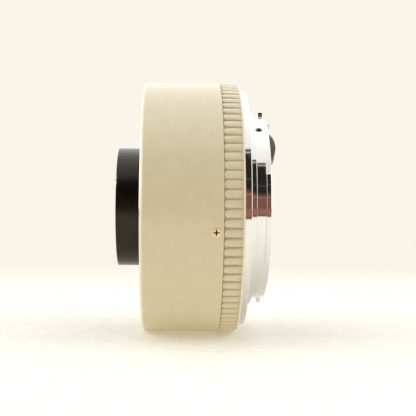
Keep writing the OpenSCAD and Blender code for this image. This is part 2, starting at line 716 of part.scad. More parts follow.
// Rings in the tube: the two end rings have spanner slots, the spacers are plain
module spanner_slots(x, r)
    for (side = [0, half_turn]) at(side + quarter, x, r)
        cube([2 * slot_depth, slot_w, tube_r], center = true);
module front_retaining_ring() color(black) difference() {
    front = tube_front + hood_bevel;
    back = front_at(front_lens, front_vertex, front_seat_r);
    revolve() polygon([
        [front_bore_r - ring_lip, front], [front_bore_r - glass_fit, front],
        [front_bore_r - glass_fit, back], [front_seat_r, back]]);
    spanner_slots(front, front_bore_r);
}
module front_spacer() color(black)
    ring(fourth_seat_r, pair_bore_r - glass_fit, front_spacer_x, fourth_edge);
module rear_spacer() color(black) revolve() polygon([
    [fourth_seat_r, rear_spacer_x], [pair_bore_r - glass_fit, rear_spacer_x],
    [pair_bore_r - glass_fit, rear_seat_x], [rear_seat_r, rear_seat_x]]);
module rear_retaining_ring() color(black) difference() {
    back = rear_ring_x + rear_ring_l;
    revolve() polygon([
        [rear_seat_r, rear_ring_x], [pair_bore_r - glass_fit, rear_ring_x],
        [pair_bore_r - glass_fit, back], [pair_bore_r - ring_lip, back]]);
    spanner_slots(back, pair_bore_r);
}

// Floor of the lens side well, cut open for the contact block
module well_plate() color(soft_black) difference() {
    ring(tube_r + 2 * plate_fit, lug_room_r - plate_fit, well_floor, well_plate_back);
    arc_block(block_in_r - plate_fit, block_out_r + plate_fit,
        well_floor - over, well_plate_back + over, contact_turn, contact_block_span + 1);
    for (t = well_screw_turns) to_lens(t, well_floor, well_screw_r) small_screw_hole(well_screw_l);
}
module well_plate_screws() color(steel)
    for (t = well_screw_turns) to_lens(t, well_floor, well_screw_r) small_screw(well_screw_l);

// Lens side contacts: a block with stepped holes, sprung pins and their coil springs
pin_turns = [for (k = [0:pin_count - 1]) contact_turn + (k - (pin_count - 1) / 2) * pin_pitch];
pin_stop = block_front + pin_wall;
pin_stop_gap = 0.05;
module pin_block() color(black) difference() {
    arc_block(block_in_r, block_out_r, block_front, board_front, contact_turn, contact_block_span);
    for (t = pin_turns) {
        to_lens(t, board_front + over, contact_r)
            cylinder(h = board_front - block_front + 2 * over, d = pin_d + 2 * pin_fit);
        to_lens(t, board_front + over, contact_r)
            cylinder(h = board_front + over - pin_stop, d = pin_collar_d + 2 * pin_fit);
    }
    for (t = block_screw_turns) to_lens(t, block_front, contact_r) small_screw_hole(block_screw_l);
}
module pin_block_screws() color(steel)
    for (t = block_screw_turns) to_lens(t, block_front, contact_r) small_screw(block_screw_l);
module contact_pin(k) color(gold) to_lens(pin_turns[k], pin_stop + pin_stop_gap, contact_r) union() {
    tip = pin_stop + pin_stop_gap - block_front + pin_travel + pin_rest;
    cylinder(h = tip - pin_d / 2, d = pin_d);
    translate([0, 0, tip - pin_d / 2]) sphere(d = pin_d);
    translate([0, 0, -pin_collar_h]) cylinder(h = pin_collar_h, d = pin_collar_d);
}

// A coil spring along Z from 0 to the given height: one unbroken tube
spring_rings = 8;
spring_sides = 6;
module coil(height, wire_d, coil_r, coils) {
    count = floor(coils * spring_rings);
    rise = height - wire_d;
    points = [for (k = [0:count])
        let (t = full_turn * k / spring_rings, z = wire_d / 2 + rise * k / count)
        for (s = [0:spring_sides - 1])
            let (u = full_turn * s / spring_sides, r = coil_r + wire_d / 2 * cos(u))
            [r * cos(t), r * sin(t), z + wire_d / 2 * sin(u)]];
    walls = [for (k = [0:count - 1]) for (s = [0:spring_sides - 1])
        let (n = (s + 1) % spring_sides, p = k * spring_sides, q = p + spring_sides)
            for (f = [[p + s, q + s, q + n], [p + s, q + n, p + n]]) f];
    start = [for (s = [1:spring_sides - 2]) [0, s, s + 1]];
    last = count * spring_sides;
    finish = [for (s = [1:spring_sides - 2]) [last, last + s + 1, last + s]];
    polyhedron(points, concat(walls, start, finish));
}
pin_spring_l = board_front - pin_stop - pin_stop_gap - pin_collar_h;
module pin_springs() color(steel) for (t = pin_turns) to_lens(t, board_front, contact_r)
    coil(pin_spring_l, pin_wire_d, pin_collar_d / 2 - pin_wire_d, pin_coils);
echo(pin_spring_gap = (pin_spring_l - pin_wire_d) / pin_coils - pin_wire_d);

// Circuit board on its bosses, with its components and the flexible strip to the camera side
chip_h = board_gap * 0.55;
chip_r = (board_in_r + board_out_r) / 2;
// turn, width and length of each component, as shares of the board's width
chips = [[120, 0.62, 0.62], [185, 0.5, 0.75], [235, 0.4, 0.4], [325, 0.5, 0.5]];
module circuit_board() color(board_green) difference() {
    ring(board_in_r, board_out_r, board_front, board_back);
    for (t = board_screw_turns) to_lens(t, board_front, contact_r) small_screw_hole(board_screw_l);
    for (t = block_screw_turns) to_lens(t, block_front, contact_r) small_screw_hole(block_screw_l);
}
module board_chips() color(black) for (c = chips)
    to_lens(c[0], board_front, chip_r) scale(board_out_r - board_in_r)
        translate([-c[1] / 2, -c[2] / 2, 0]) cube([c[1], c[2], chip_h / (board_out_r - board_in_r)]);
module board_screws() color(steel)
    for (t = board_screw_turns) to_lens(t, board_front, contact_r) small_screw(board_screw_l);
flex_clear = 0.5;
module flex_bar(x0, x1, w, t) at(contact_turn, x0, contact_r)
    translate([0, -w / 2, -t / 2]) cube([x1 - x0, w, t]);
module flex_slot() flex_bar(board_back, over, flex_w + 2 * flex_clear, flex_t + 2 * flex_clear);
module flex_strip() color(amber) flex_bar(board_back, -flange_t, flex_w, flex_t);

// Camera side baffle: a plate trapped under the mount ring, with a stepped funnel
funnel_end = tube_end + funnel_gap;
funnel_in_r = rear_lens[0] + funnel_wall;
funnel_out_r = block_in_r - funnel_wall * 0.75;
module rear_baffle() color(soft_black) difference() {
    step_l = (-flange_t - funnel_end) / funnel_steps;
    step_r = (funnel_out_r - funnel_in_r) / funnel_steps;
    revolve() polygon(concat(
        [for (k = [0:funnel_steps - 1]) for (side = [0, 1])
            [funnel_in_r + k * step_r, funnel_end + (k + side) * step_l]],
        [[baffle_r, -flange_t], [baffle_r, baffle_seat], [funnel_out_r + funnel_wall, baffle_seat]],
        [for (k = [funnel_steps - 1:-1:0]) for (side = [1, 0])
            [funnel_in_r + (k + side) * step_r + funnel_wall, funnel_end + k * step_l]]));
    flex_slot();
}

// Camera side contacts: a curved block with two rounded humps that carry gold contacts
hump_turn = contact_turn + hump_shift;
small_hump_turn = contact_turn - small_hump_shift;
block_turn = contact_turn - block_shift;
function hump_r(half, h) = let (w = half * PI / half_turn * contact_r, rise = h - block_low_h)
    (w * w + rise * rise) / (2 * rise);
// a disc whose axis is radial: its edge is the rounded top of a hump
module hump_disc(turn, half, h, skin) at(turn, h - hump_r(half, h), block_in_r - over)
    cylinder(h = contact_block_w + 2 * over, r = hump_r(half, h) + skin);
module both_humps() {
    hump_disc(hump_turn, hump_half, hump_h, 0);
    hump_disc(small_hump_turn, small_hump_half, small_hump_h, 0);
}
// the places of the gold contacts: a row of three on the large hump, and two on the small one
module contact_places(grow) {
    for (k = [-1:1]) difference() {
        arc_block(contact_r - contact_pad_w / 2 - grow, contact_r + contact_pad_w / 2 + grow,
            block_low_h, hump_h + over, hump_turn + k * contact_pad_pitch,
            contact_pad_span + grow * half_turn / PI / contact_r);
        hump_disc(hump_turn, hump_half, hump_h, -contact_sink - contact_t);
    }
    for (k = [-1, 1]) difference() {
        arc_block(contact_r - contact_pad_w / 2 - grow, block_out_r + over, block_low_h,
            small_hump_h + side_contact_rise + over,
            small_hump_turn + side_contact_shift + k * contact_pad_pitch / 2,
            contact_pad_span + grow * half_turn / PI / contact_r);
        hump_disc(small_hump_turn, small_hump_half, small_hump_h, -side_contact_h);
    }
}
module rear_contact_block() color(black) difference() {
    intersection() {
        arc_block(block_in_r, block_out_r, -flange_t, hump_h + over, block_turn, block_span);
        union() {
            translate([-flange_t - over, -body_r, -body_r])
                cube([flange_t + over + block_low_h, body_d, body_d]);
            both_humps();
        }
    }
    contact_places(contact_fit);
    at(contact_screw_turn, contact_screw_x, spigot_r) small_screw_hole(contact_screw_l);
}
module rear_contacts() color(gold) intersection() {
    contact_places(0);
    ring(block_in_r, block_out_r, 0, hump_h + side_contact_rise);
    union() {
        hump_disc(hump_turn, hump_half, hump_h, -contact_sink);
        hump_disc(small_hump_turn, small_hump_half, small_hump_h, side_contact_rise);
    }
}
module rear_contact_screw() color(black)
    at(contact_screw_turn, contact_screw_x, spigot_r) small_screw(contact_screw_l);

// Release: a thumb slider, its post and the lock pin move as one against a coil spring
slider_x = lens_face + slider_inset;
slider_r = body_r - slider_recess;
lock_back = lens_face - lock_reach + lock_pin_l;
lock_pocket_end = lock_back + lock_spring_l;
recess_margin = 0.3;
module lock_bore(x0) to_camera(lock_turn, x0, lock_r)
    cylinder(h = lock_pocket_end - x0, d = lock_pin_d + 2 * release_fit);
module post_slot(r_out) at(lock_turn, 0, lock_r) round_slot(r_out - lock_r);
// a slot with round ends: two cylinders and the box between them
module round_slot(height) {
    slot_d = post_d + 2 * release_fit;
    for (shift = [0, release_travel]) translate([slider_x + shift, 0, 0])
        cylinder(h = height, d = slot_d);
    translate([slider_x, -slot_d / 2, 0]) cube([release_travel, slot_d, height]);
}
module slider_recess_cut() arc_block(slider_r, body_r + over,
    slider_x - slider_l / 2 - recess_margin, slider_x + slider_l / 2 + release_travel + recess_margin,
    lock_turn, slider_span + 1);
post_head = 0.8;
module release_slider() color(black) difference() {
    low = slider_r + slider_fit;
    high = body_r + slider_h;
    start = slider_x - slider_l / 2;
    finish = slider_x + slider_l / 2;
    edge = 0.5;
    pitch = (slider_l - 2 * edge) / slider_ridges;
    sector(lock_turn, slider_span) polygon(concat(
        [[low, start], [high - edge, start]],
        [for (k = [0:slider_ridges - 1]) for (p = [[high - edge, 0], [high, 0.25], [high, 0.65]])
            [p[0], start + edge + (k + p[1]) * pitch]],
        [[high - edge, finish - edge], [high - edge, finish], [low, finish]]));
    at(lock_turn, slider_x, slider_r)
        cylinder(h = slider_fit + post_head + release_fit, d = post_d + 2 * release_fit);
}
module release_post() color(steel) at(lock_turn, slider_x, lock_r) union() {
    cylinder(h = lock_pin_d / 2 + release_fit, d = post_tip_d);
    translate([0, 0, lock_pin_d / 2 + release_fit])
        cylinder(h = slider_r + slider_fit + post_head - lock_r - lock_pin_d / 2 - release_fit,
            d = post_d);
}
module lock_pin() color(steel) difference() {
    to_lens(lock_turn, lock_back, lock_r) union() {
        cylinder(h = lock_pin_l - mount_bevel, d = lock_pin_d);
        translate([0, 0, lock_pin_l - mount_bevel])
            cylinder(h = mount_bevel, d1 = lock_pin_d, d2 = lock_pin_d - 2 * mount_bevel);
    }
    at(lock_turn, slider_x, lock_r - release_fit)
        cylinder(h = lock_pin_d, d = post_tip_d + 2 * release_fit);
}
module lock_spring() color(steel) to_camera(lock_turn, lock_back, lock_r)
    coil(lock_spring_l, lock_wire_d, lock_pin_d / 2 - lock_wire_d, lock_coils);
echo(lock_spring_gap = (lock_spring_l - lock_wire_d) / lock_coils - lock_wire_d);

barrel_shell();
barrel_screws();
grip_ring();
main_frame();
lens_mount_ring();
lens_mount_screws();
lens_mount_spring();
lens_index_dot();
camera_mount_ring();
camera_mount_screws();
camera_mount_shim();
camera_index_dot();
front_tube();
front_tube_screws();
front_retaining_ring();
front_element();
pair_front_element();
pair_rear_element();
front_spacer();
fourth_element();
rear_spacer();
rear_element();
rear_retaining_ring();
well_plate();
well_plate_screws();
pin_block();
pin_block_screws();
pin_springs();
circuit_board();
board_chips();
board_screws();
flex_strip();
rear_baffle();
rear_contact_block();
rear_contacts();
rear_contact_screw();
release_slider();
release_post();
lock_pin();
lock_spring();
for (k = [0:pin_count - 1]) contact_pin(k);
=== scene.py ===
import math

import bmesh
import bpy
from mathutils import Matrix, Vector


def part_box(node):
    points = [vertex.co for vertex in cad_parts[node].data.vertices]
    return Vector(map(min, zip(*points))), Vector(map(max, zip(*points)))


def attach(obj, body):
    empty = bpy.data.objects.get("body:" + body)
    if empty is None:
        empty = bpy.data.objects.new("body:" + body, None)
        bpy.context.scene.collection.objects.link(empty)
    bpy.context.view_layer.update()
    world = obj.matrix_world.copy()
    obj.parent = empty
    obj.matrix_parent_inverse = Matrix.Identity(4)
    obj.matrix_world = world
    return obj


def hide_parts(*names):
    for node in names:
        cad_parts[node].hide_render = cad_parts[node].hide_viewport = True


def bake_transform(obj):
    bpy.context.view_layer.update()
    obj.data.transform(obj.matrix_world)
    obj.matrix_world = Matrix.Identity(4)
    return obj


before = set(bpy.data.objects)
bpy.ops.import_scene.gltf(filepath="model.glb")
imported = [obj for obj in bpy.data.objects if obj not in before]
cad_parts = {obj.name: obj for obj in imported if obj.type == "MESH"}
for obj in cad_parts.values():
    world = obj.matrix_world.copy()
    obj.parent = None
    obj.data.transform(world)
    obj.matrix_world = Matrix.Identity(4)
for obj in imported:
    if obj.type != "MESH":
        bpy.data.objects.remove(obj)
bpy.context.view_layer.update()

# Camera: a short telephoto, level with the optical axis, square to the barrel and tilted by
# less than half a degree. The converter lies left of its middle, so the frame is shifted.
mm = 0.001
scene = bpy.context.scene
scene.view_settings.view_transform = "Standard"
lens = bpy.data.cameras.new("photo_camera")
lens.lens = 72.7
lens.shift_x = 0.0786
lens.clip_start = 5 * mm
camera = bpy.data.objects.new("photo_camera", lens)
camera.location = (-18.55 * mm, -233.6 * mm, -0.25 * mm)
camera.rotation_euler = (math.radians(90), math.radians(-0.42), 0)
scene.collection.objects.link(camera)
scene.camera = camera


# Light: a pale room with a bright ceiling and a window to the left, and soft lamps for these two
# and for the wall to the right. Opposite the barrel stands a dark cupboard over a brown table,
# and both show as bands in what is polished.
class Wire:
    """A socket in a node tree. Sums on it add Math nodes, and node() adds any other node."""

    def __init__(self, tree, socket=None):
        self.tree, self.socket = tree, socket

    def node(self, kind, settings=None, values=None, out=0):
        """One output of a new node, with its settings set first and then its values or links."""
        made = self.tree.nodes.new(kind)
        for key, value in (settings or {}).items():
            setattr(made, key, value)
        for key, value in (values or {}).items():
            if isinstance(value, Wire):
                self.tree.links.new(value.socket, made.inputs[key])
            else:
                made.inputs[key].default_value = value
        return Wire(self.tree, made.outputs[out])

    def maths(self, operation, first, second):
        """A Math node on two values."""
        return self.node("ShaderNodeMath", {"operation": operation}, {0: first, 1: second})

    def step(self, low, high):
        """0 below low and 1 above high, with a soft step between them."""
        return self.node("ShaderNodeMapRange", {"interpolation_type": "SMOOTHSTEP"},
                         {"Value": self, "From Min": low, "From Max": high})

    def band(self, low, high, soft):
        """1 between low and high."""
        return self.step(low - soft, low + soft) * (1 - self.step(high - soft, high + soft))

    def blend(self, first, second):
        """A colour that goes from first to second as this value goes from 0 to 1."""
        return self.node("ShaderNodeMix", {"data_type": "RGBA"},
                         {0: self, 6: first, 7: second}, out=2)

    def parts(self):
        """The three coordinates of a vector."""
        return [self.node("ShaderNodeSeparateXYZ", values={0: self}, out=k) for k in range(3)]

    def into(self, socket):
        """Links this value to a socket."""
        self.tree.links.new(self.socket, socket)

    def __add__(self, other):
        return self.maths("ADD", self, other)

    def __mul__(self, other):
        return self.maths("MULTIPLY", self, other)

    def __sub__(self, other):
        return self.maths("SUBTRACT", self, other)

    def __rsub__(self, other):
        return self.maths("SUBTRACT", other, self)

    __radd__, __rmul__ = __add__, __mul__


room = bpy.data.worlds.new("pale_room")
scene.world = room
room.use_nodes = True
air = Wire(room.node_tree)
east, north, up = air.node("ShaderNodeTexCoord", out=0).parts()
direct = air.node("ShaderNodeLightPath", out=0)
pale = up.step(0.1, 0.75).blend((0.34, 0.335, 0.325, 1), (0.88, 0.88, 0.87, 1))
pale = up.step(0.72, 0.95).blend(pale, (1.05, 1.04, 1.02, 1))
pale = north.step(0.1, 0.5).blend(pale, (1.05, 1.04, 1.02, 1))
skylight = north.step(-0.40, 0.60) * up.step(0.10, 0.60)
pale = skylight.blend(pale, (1.50, 1.50, 1.50, 1))
pale = (0 - east).step(0.65, 0.90).blend(pale, (3.0, 2.97, 2.92, 1))
pale = east.step(0.55, 0.85).blend(pale, (1.40, 1.38, 1.34, 1))
opposite = (0 - north).step(0.20, 0.30) * east.band(-0.45, 0.27, 0.05)
cupboard = up.step(0.20, 0.33).blend((0.225, 0.096, 0.070, 1), (0.022, 0.020, 0.017, 1))
cupboard = up.band(0.790, 0.806, 0.006).blend(cupboard, (0.62, 0.60, 0.56, 1))
cupboard = up.band(0.440, 0.448, 0.006).blend(cupboard, (0.15, 0.14, 0.13, 1))
cupboard = up.band(0.205, 0.219, 0.008).blend(cupboard, (0.36, 0.26, 0.23, 1))
lit = (opposite * (1 - up.step(0.825, 0.840))).blend(pale, cupboard)
backdrop = (0.947, 0.913, 0.815, 1)
direct.blend(lit, backdrop).into(room.node_tree.nodes["Background"].inputs["Color"])

for name, energy, place, lean in (("ceiling_light", 0.5, (-0.15, -0.08, 0.75), (6, -12)),
                                  ("window_light", 1.5, (-0.62, -0.09, 0.08), (0, -83)),
                                  ("side_light", 1.3, (0.55, -0.12, 0.32), (0, 60))):
    lamp = bpy.data.lights.new(name, "AREA")
    lamp.shape, lamp.size, lamp.size_y = "RECTANGLE", 0.6, 0.4
    lamp.energy = energy
    lamp = bpy.data.objects.new(name, lamp)
    lamp.location = place
    lamp.rotation_euler = [math.radians(angle) for angle in (*lean, 0)]
    lamp.visible_glossy = False
    scene.collection.objects.link(lamp)


# Floor: a white cloth of short fibres that fades into the backdrop behind. A brown table shows
# beyond its front edge, only in what is polished. The cloth also glows, as painted light that lifts
# its shadow and lights the converter from below; in what is polished it is painted darker as shade.
def new_finish(name, plain):
    """A material with one Principled shader; plain values go straight to its sockets."""
    made = bpy.data.materials.new(name)
    made.use_nodes = True
    shader = made.node_tree.nodes["Principled BSDF"].inputs
    for socket, value in plain.items():
        shader[socket].default_value = value
    spot = Wire(made.node_tree).node("ShaderNodeTexCoord", out=3)
    return made, shader, spot


def speckle(spot, scale, detail=3, stretch=None):
    """Noise over a piece, with a given number of grains to the metre."""
    if stretch:
        spot = spot.node("ShaderNodeMapping", values={"Vector": spot, "Scale": stretch})
    return spot.node("ShaderNodeTexNoise", values={"Vector": spot, "Scale": scale, "Detail": detail})


def relief(spot, height, strength, distance, shader):
    """A fine relief on a surface, its depth in millimetres."""
    spot.node("ShaderNodeBump", values={"Height": height, "Strength": strength,
                                        "Distance": distance * mm}).into(shader["Normal"])


body_r = 34.1
half = 1.5
mesh = bpy.data.meshes.new("floor")
mesh.from_pydata([(-half, -half, -body_r * mm), (half, -half, -body_r * mm),
                  (half, half, -body_r * mm), (-half, half, -body_r * mm)], [], [(0, 1, 2, 3)])
floor = bpy.data.objects.new("floor", mesh)
scene.collection.objects.link(floor)
cloth, shader, spot = new_finish("white_cloth", {"Roughness": 0.9, "Specular IOR Level": 0.1})
depth = spot.parts()[1]
direct = spot.node("ShaderNodeLightPath", out=0)
mirrored = spot.node("ShaderNodeLightPath", out=3)
fibres = speckle(spot, 420, 5)
white = fibres.step(0.2, 0.8).blend((0.80, 0.785, 0.735, 1), (0.88, 0.865, 0.815, 1))
# painted shade: seen in what is polished, the cloth is painted darker and warmer
white = (0.2 * mirrored).blend(white, (0.42, 0.39, 0.33, 1))
table = mirrored * (1 - depth.step(-0.200, -0.190))
wood = depth.step(-0.245, -0.232).blend((0.25, 0.095, 0.070, 1), (0.03, 0.025, 0.02, 1))
table.blend(white, wood).into(shader["Base Color"])
relief(spot, fibres, 0.5, 0.5, shader)
# painted light: the cloth glows though it is no lamp, most where it lights the converter from below, a
# little where it is seen, which lifts its shadow, and least in what is polished
spread = spot.node("ShaderNodeLightPath", out=2)
painted_glow_colour = (0.2 * fibres + 0.8 * spread).blend((0.90, 0.819, 0.648, 1), (1.40, 1.274, 1.008, 1))
glow = spot.node("ShaderNodeEmission", values={"Color": painted_glow_colour, "Strength": 1.0})
far = spot.node("ShaderNodeEmission", values={"Color": backdrop, "Strength": 1.0})
near = Wire(cloth.node_tree, cloth.node_tree.nodes["Principled BSDF"].outputs[0])
near = spot.node("ShaderNodeMixShader", values={
    0: (0.22 + 0.40 * spread - 0.10 * mirrored) * (1 - table), 1: near, 2: glow})
spot.node("ShaderNodeMixShader", values={0: direct * depth.step(0.05, 0.27), 1: near, 2: far}
          ).into(cloth.node_tree.nodes["Material Output"].inputs["Surface"])
mesh.materials.append(cloth)


# Main frame: a black anodised aluminium turning that everything is screwed to. Only the wall of
# the lens side well and the seams between the rings show it.
def dress(finish, *nodes):
    """Gives CAD nodes that keep their solid a finish."""
    for name in nodes:
        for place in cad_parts[name].material_slots:
            place.material = finish


anodised, shader, spot = new_finish("black_anodised", {"Specular IOR Level": 0.4})
mottle = speckle(spot, 900)
mottle.blend((0.010, 0.010, 0.010, 1), (0.020, 0.019, 0.018, 1)).into(shader["Base Color"])
(0.38 + 0.2 * mottle).into(shader["Roughness"])
dress(anodised, "main_frame")


# Front tube: black anodised aluminium, turned from bar, so fine rings run round it. Its rim has
# lost a little of the black where it has touched lenses.
def rounded(corners, arc=5):
    """A closed outline through (station, radius, rounding) corners, in millimetres."""
    outline = []
    for k, (x, r, rounding) in enumerate(corners):
        here = Vector((x, r))
        back = Vector(corners[k - 1][:2]) - here
        ahead = Vector(corners[(k + 1) % len(corners)][:2]) - here
        if not rounding:
            outline.append(here)
            continue
        opening = back.angle(ahead) / 2
        reach = min(rounding / math.tan(opening), 0.45 * back.length, 0.45 * ahead.length)
        radius = reach * math.tan(opening)
        centre = here + (back.normalized() + ahead.normalized()).normalized() * (
            radius / math.sin(opening))
        first = here + back.normalized() * reach - centre
        last = here + ahead.normalized() * reach - centre
        start = math.atan2(first.y, first.x)
        sweep = (math.atan2(last.y, last.x) - start + math.pi) % (2 * math.pi) - math.pi
        for s in range(arc + 1):
            angle = start + sweep * s / arc
            outline.append(centre + radius * Vector((math.cos(angle), math.sin(angle))))
    # a point close to both ends of each straight line keeps flat faces flat in the light
    supported = []
    for k, here in enumerate(outline):
        line = outline[(k + 1) % len(outline)] - here
        supported.append(here)
        if line.length > 0.3:
            supported += [here + line * (0.06 / line.length), here + line * (1 - 0.06 / line.length)]
    return supported


def mesh_of(form, name):
    """The mesh of a form that is finished."""
    made = bpy.data.meshes.new(name)
    form.to_mesh(made)
    form.free()
    return made


def skin(name, sections, ring=False):
    """Outlines of (station, radius) at successive turns about the optical axis, joined up."""
    form = bmesh.new()
    rows = []
    for turn, outline in sections:
        angle = math.radians(turn)
        rows.append([form.verts.new((p[0] * mm, -p[1] * mm * math.sin(angle),
                                     p[1] * mm * math.cos(angle))) for p in outline])
    for here, there in zip(rows, rows[1:] + rows[:1] if ring else rows[1:]):
        for k in range(len(here)):
            n = (k + 1) % len(here)
            form.faces.new((here[k], here[n], there[n], there[k]))
    if not ring:
        form.faces.new(rows[0])
        form.faces.new(rows[-1])
    bmesh.ops.remove_doubles(form, verts=form.verts, dist=1e-7)
    bmesh.ops.recalc_face_normals(form, faces=form.faces)
    return mesh_of(form, name)


def smoothed(made, sharp=40):
    """Smooth light over a mesh, except along edges that turn by more than this angle."""
    made.shade_smooth()
    made.set_sharp_from_angle(angle=math.radians(sharp))


def piece_of(name, made, finish):
    """An object for a mesh with one finish."""
    made.materials.clear()
    made.materials.append(finish)
    smoothed(made)
    piece = bpy.data.objects.new(name, made)
    scene.collection.objects.link(piece)
    return piece


def turned(name, corners, finish, steps=288):
    """A ring turned from an outline with rounded corners."""
    outline = rounded(corners)
    return piece_of(name, skin(name, [(360 * j / steps, outline) for j in range(steps)], True), finish)


def sector(name, turn, span, corners, finish):
    """The same over part of a turn, centred on one turn."""
    outline, steps = rounded(corners), 60
    return piece_of(name, skin(name, [(turn + span * (j / steps - 0.5), outline)
                                      for j in range(steps + 1)]), finish)


def seat(piece, body, slot, *nodes):
    """The piece stands for these CAD nodes and moves with this body; the finish slot is not used."""
    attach(piece, body)
    if nodes:
        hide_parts(*nodes)
    return piece


def beyond(spot, low, high):
    """0 within the low radius about the optical axis and 1 beyond the high one."""
    _, across, up = spot.parts()
    return (across * across + up * up).step((low * mm) ** 2, (high * mm) ** 2)


tube_front, tube_r, tube_end, tube_bore = -34.1, 16.169, -7.849, 12.625
foot_front, foot_back, foot_r = -12.5, -10.7, 20.5
seat_front, seat_back, seat_r, front_bore = -30.141, -28.141, 11.695, 13.232
ring_front = tube_front + 0.94
tube_black, shader, spot = new_finish("turned_black_anodised", {
    "Specular IOR Level": 0.5, "Specular Tint": (1.0, 0.86, 0.68, 1)})
along, _, high = spot.parts()
rings = speckle(spot, 1, 3, (3200, 40, 40))
specks = speckle(spot, 1500, 4)
rim = 1 - along.step((tube_front + 0.1) * mm, (tube_front + 0.4) * mm)
edge = beyond(spot, tube_r - 0.15, tube_r - 0.08)
worn = specks.step(0.52, 0.60) * rim * edge * high.band(5 * mm, 9 * mm, 0.5 * mm)
worn.blend((0.0012, 0.0009, 0.0007, 1), (0.75, 0.72, 0.66, 1)).into(shader["Base Color"])
(0.22 + 0.14 * rings).into(shader["Roughness"])
(0.4 * worn).into(shader["Metallic"])
relief(spot, rings, 0.25, 0.004, shader)
tube = turned("front_tube_turning", [
    (tube_front, front_bore + 0.94, 0.12), (tube_front, tube_r, 0.2), (foot_front, tube_r, 0.1),
    (foot_front, foot_r, 0.1), (foot_back, foot_r, 0.1), (foot_back, tube_r, 0.1),
    (tube_end, tube_r, 0.15), (tube_end, tube_bore, 0.1), (seat_back, tube_bore, 0.05),
    (seat_back, seat_r, 0.1), (seat_front, seat_r, 0.1), (seat_front, front_bore, 0.05),
    (ring_front, front_bore, 0.1)], tube_black)
seat(tube, "body", "black_tube", "front_tube")

# Lens elements: ground glass with a coating that reflects faintly green and purple. The front
# and rear ones show; the cemented pair and the fourth element lie between them.
coated, shader, spot = new_finish("coated_glass", {
    "Base Color": (0.93, 0.97, 0.96, 1), "IOR": 1.55, "Transmission Weight": 1.0,
    "Thin Film Thickness": 390, "Thin Film IOR": 1.38})
dust = speckle(spot, 2600, 2)
(0.01 + 0.05 * dust.step(0.62, 0.75)).into(shader["Roughness"])


def ground(vertex, radius, edge):
    """Points of a ground face from the axis out to the edge."""
    steps = 18
    for k in range(steps + 1):
        r = edge * k / steps
        sag = abs(radius) - math.sqrt(radius ** 2 - r * r)
        yield Vector((vertex + math.copysign(sag, radius), r))


for name, vertex, front, rear, thick, edge in (
        ("front_element", -33.021, 62.05, -95.05, 3.602, 13.2),
        ("rear_element", -13.761, 47.99, -51.96, 5.0015, 12.4)):
    outline = list(ground(vertex, front, edge)) + list(ground(vertex + thick, rear, edge))[::-1]
    face = skin(name, [(360 * j / 192, outline) for j in range(192)], True)
    seat(piece_of(name + "_ground", face, coated), "body", "lens_glass", name)
dress(coated, "pair_front_element", "pair_rear_element", "fourth_element")


# Rings in the tube: two black spacers between the elements, and a threaded ring at each end that
# holds them. Each end ring has two slots for a spanner, and a slope that throws no light inwards.
def placed(turn, x, r, facing="out"):
    """A place at a turn, a station and a radius, with Z outwards, to the lens or to the camera."""
    lean = {"out": 0, "lens": -90, "camera": 90}[facing]
    return (Matrix.Rotation(math.radians(turn), 4, "X") @ Matrix.Translation((x * mm, 0, r * mm))
            @ Matrix.Rotation(math.radians(lean), 4, "Y"))


def tapered(length, width, low, high, place, share=1.0):
    """A block to cut with, from low to high, whose lower face is narrower by a share."""
    form = bmesh.new()
    corners = [form.verts.new(place @ (Vector((sx * length / 2 * k, sy * width / 2 * k, z)) * mm))
               for z, k in ((low, share), (high, 1))
               for sx, sy in ((-1, -1), (1, -1), (1, 1), (-1, 1))]
    for face in ((3, 2, 1, 0), (4, 5, 6, 7), (0, 1, 5, 4), (1, 2, 6, 5), (2, 3, 7, 6), (3, 0, 4, 7)):
        form.faces.new([corners[k] for k in face])
    return mesh_of(form, "cutter")


def lathe(profile, place, steps=48):
    """A small turning with (radius, height) points along the Z of its place."""
    form = bmesh.new()
    rows = [[form.verts.new(place @ Vector((r * mm * math.cos(2 * math.pi * j / steps),
                                            r * mm * math.sin(2 * math.pi * j / steps), z * mm)))
             for r, z in profile] for j in range(steps)]
    for here, there in zip(rows, rows[1:] + rows[:1]):
        for k in range(len(profile) - 1):
            form.faces.new((here[k], there[k], there[k + 1], here[k + 1]))
    bmesh.ops.remove_doubles(form, verts=form.verts, dist=1e-8)
    bmesh.ops.recalc_face_normals(form, faces=form.faces)
    return mesh_of(form, "turning")


def settle(piece, sharp=40):
    """Turns what a piece's modifiers make into its own plain mesh."""
    made = bpy.data.meshes.new_from_object(
        piece.evaluated_get(bpy.context.evaluated_depsgraph_get()))
    piece.modifiers.clear()
    smoothed(made, sharp)
    piece.data = made


def cut(piece, *cutters):
    """Takes each cutter's shape out of a piece."""
    tools = []
    for k, cutter in enumerate(cutters):
        tools.append(bpy.data.objects.new("cutter", cutter))
        scene.collection.objects.link(tools[-1])
        bite = piece.modifiers.new(f"cut_{k}", "BOOLEAN")
        bite.operation, bite.solver, bite.object = "DIFFERENCE", "EXACT", tools[-1]
    settle(piece)
    while len(piece.data.materials) > 1:
        piece.data.materials.pop()
    piece.data.polygons.foreach_set("material_index", [0] * len(piece.data.polygons))
    for tool in tools:
        bpy.data.objects.remove(tool)


def spanner_slots(x):
    """Two slots opposite each other in the end of a ring."""
    length, width, inner, outer = 2.4, 1.0, 9.5, 18
    return [tapered(length, width, inner, outer, placed(turn, x, 0)) for turn in (90, 270)]


front_ring = turned("front_retaining_ring_turning", [
    (ring_front, 12.632, 0.05), (ring_front, 13.2, 0.06), (-31.789, 13.2, 0.02),
    (-31.789, 12.302, 0.02)], tube_black)
cut(front_ring, *spanner_slots(ring_front - 0.6))
seat(front_ring, "body", "black_tube", "front_retaining_ring")
rear_ring = turned("rear_retaining_ring_turning", [
    (-10.049, 11.501, 0.02), (-10.049, 12.595, 0.02), (-8.149, 12.595, 0.06),
    (-8.149, 12.025, 0.06)], tube_black)
cut(rear_ring, *spanner_slots(-7.549))
seat(rear_ring, "body", "black_tube", "rear_retaining_ring")
dress(tube_black, "front_spacer", "rear_spacer")

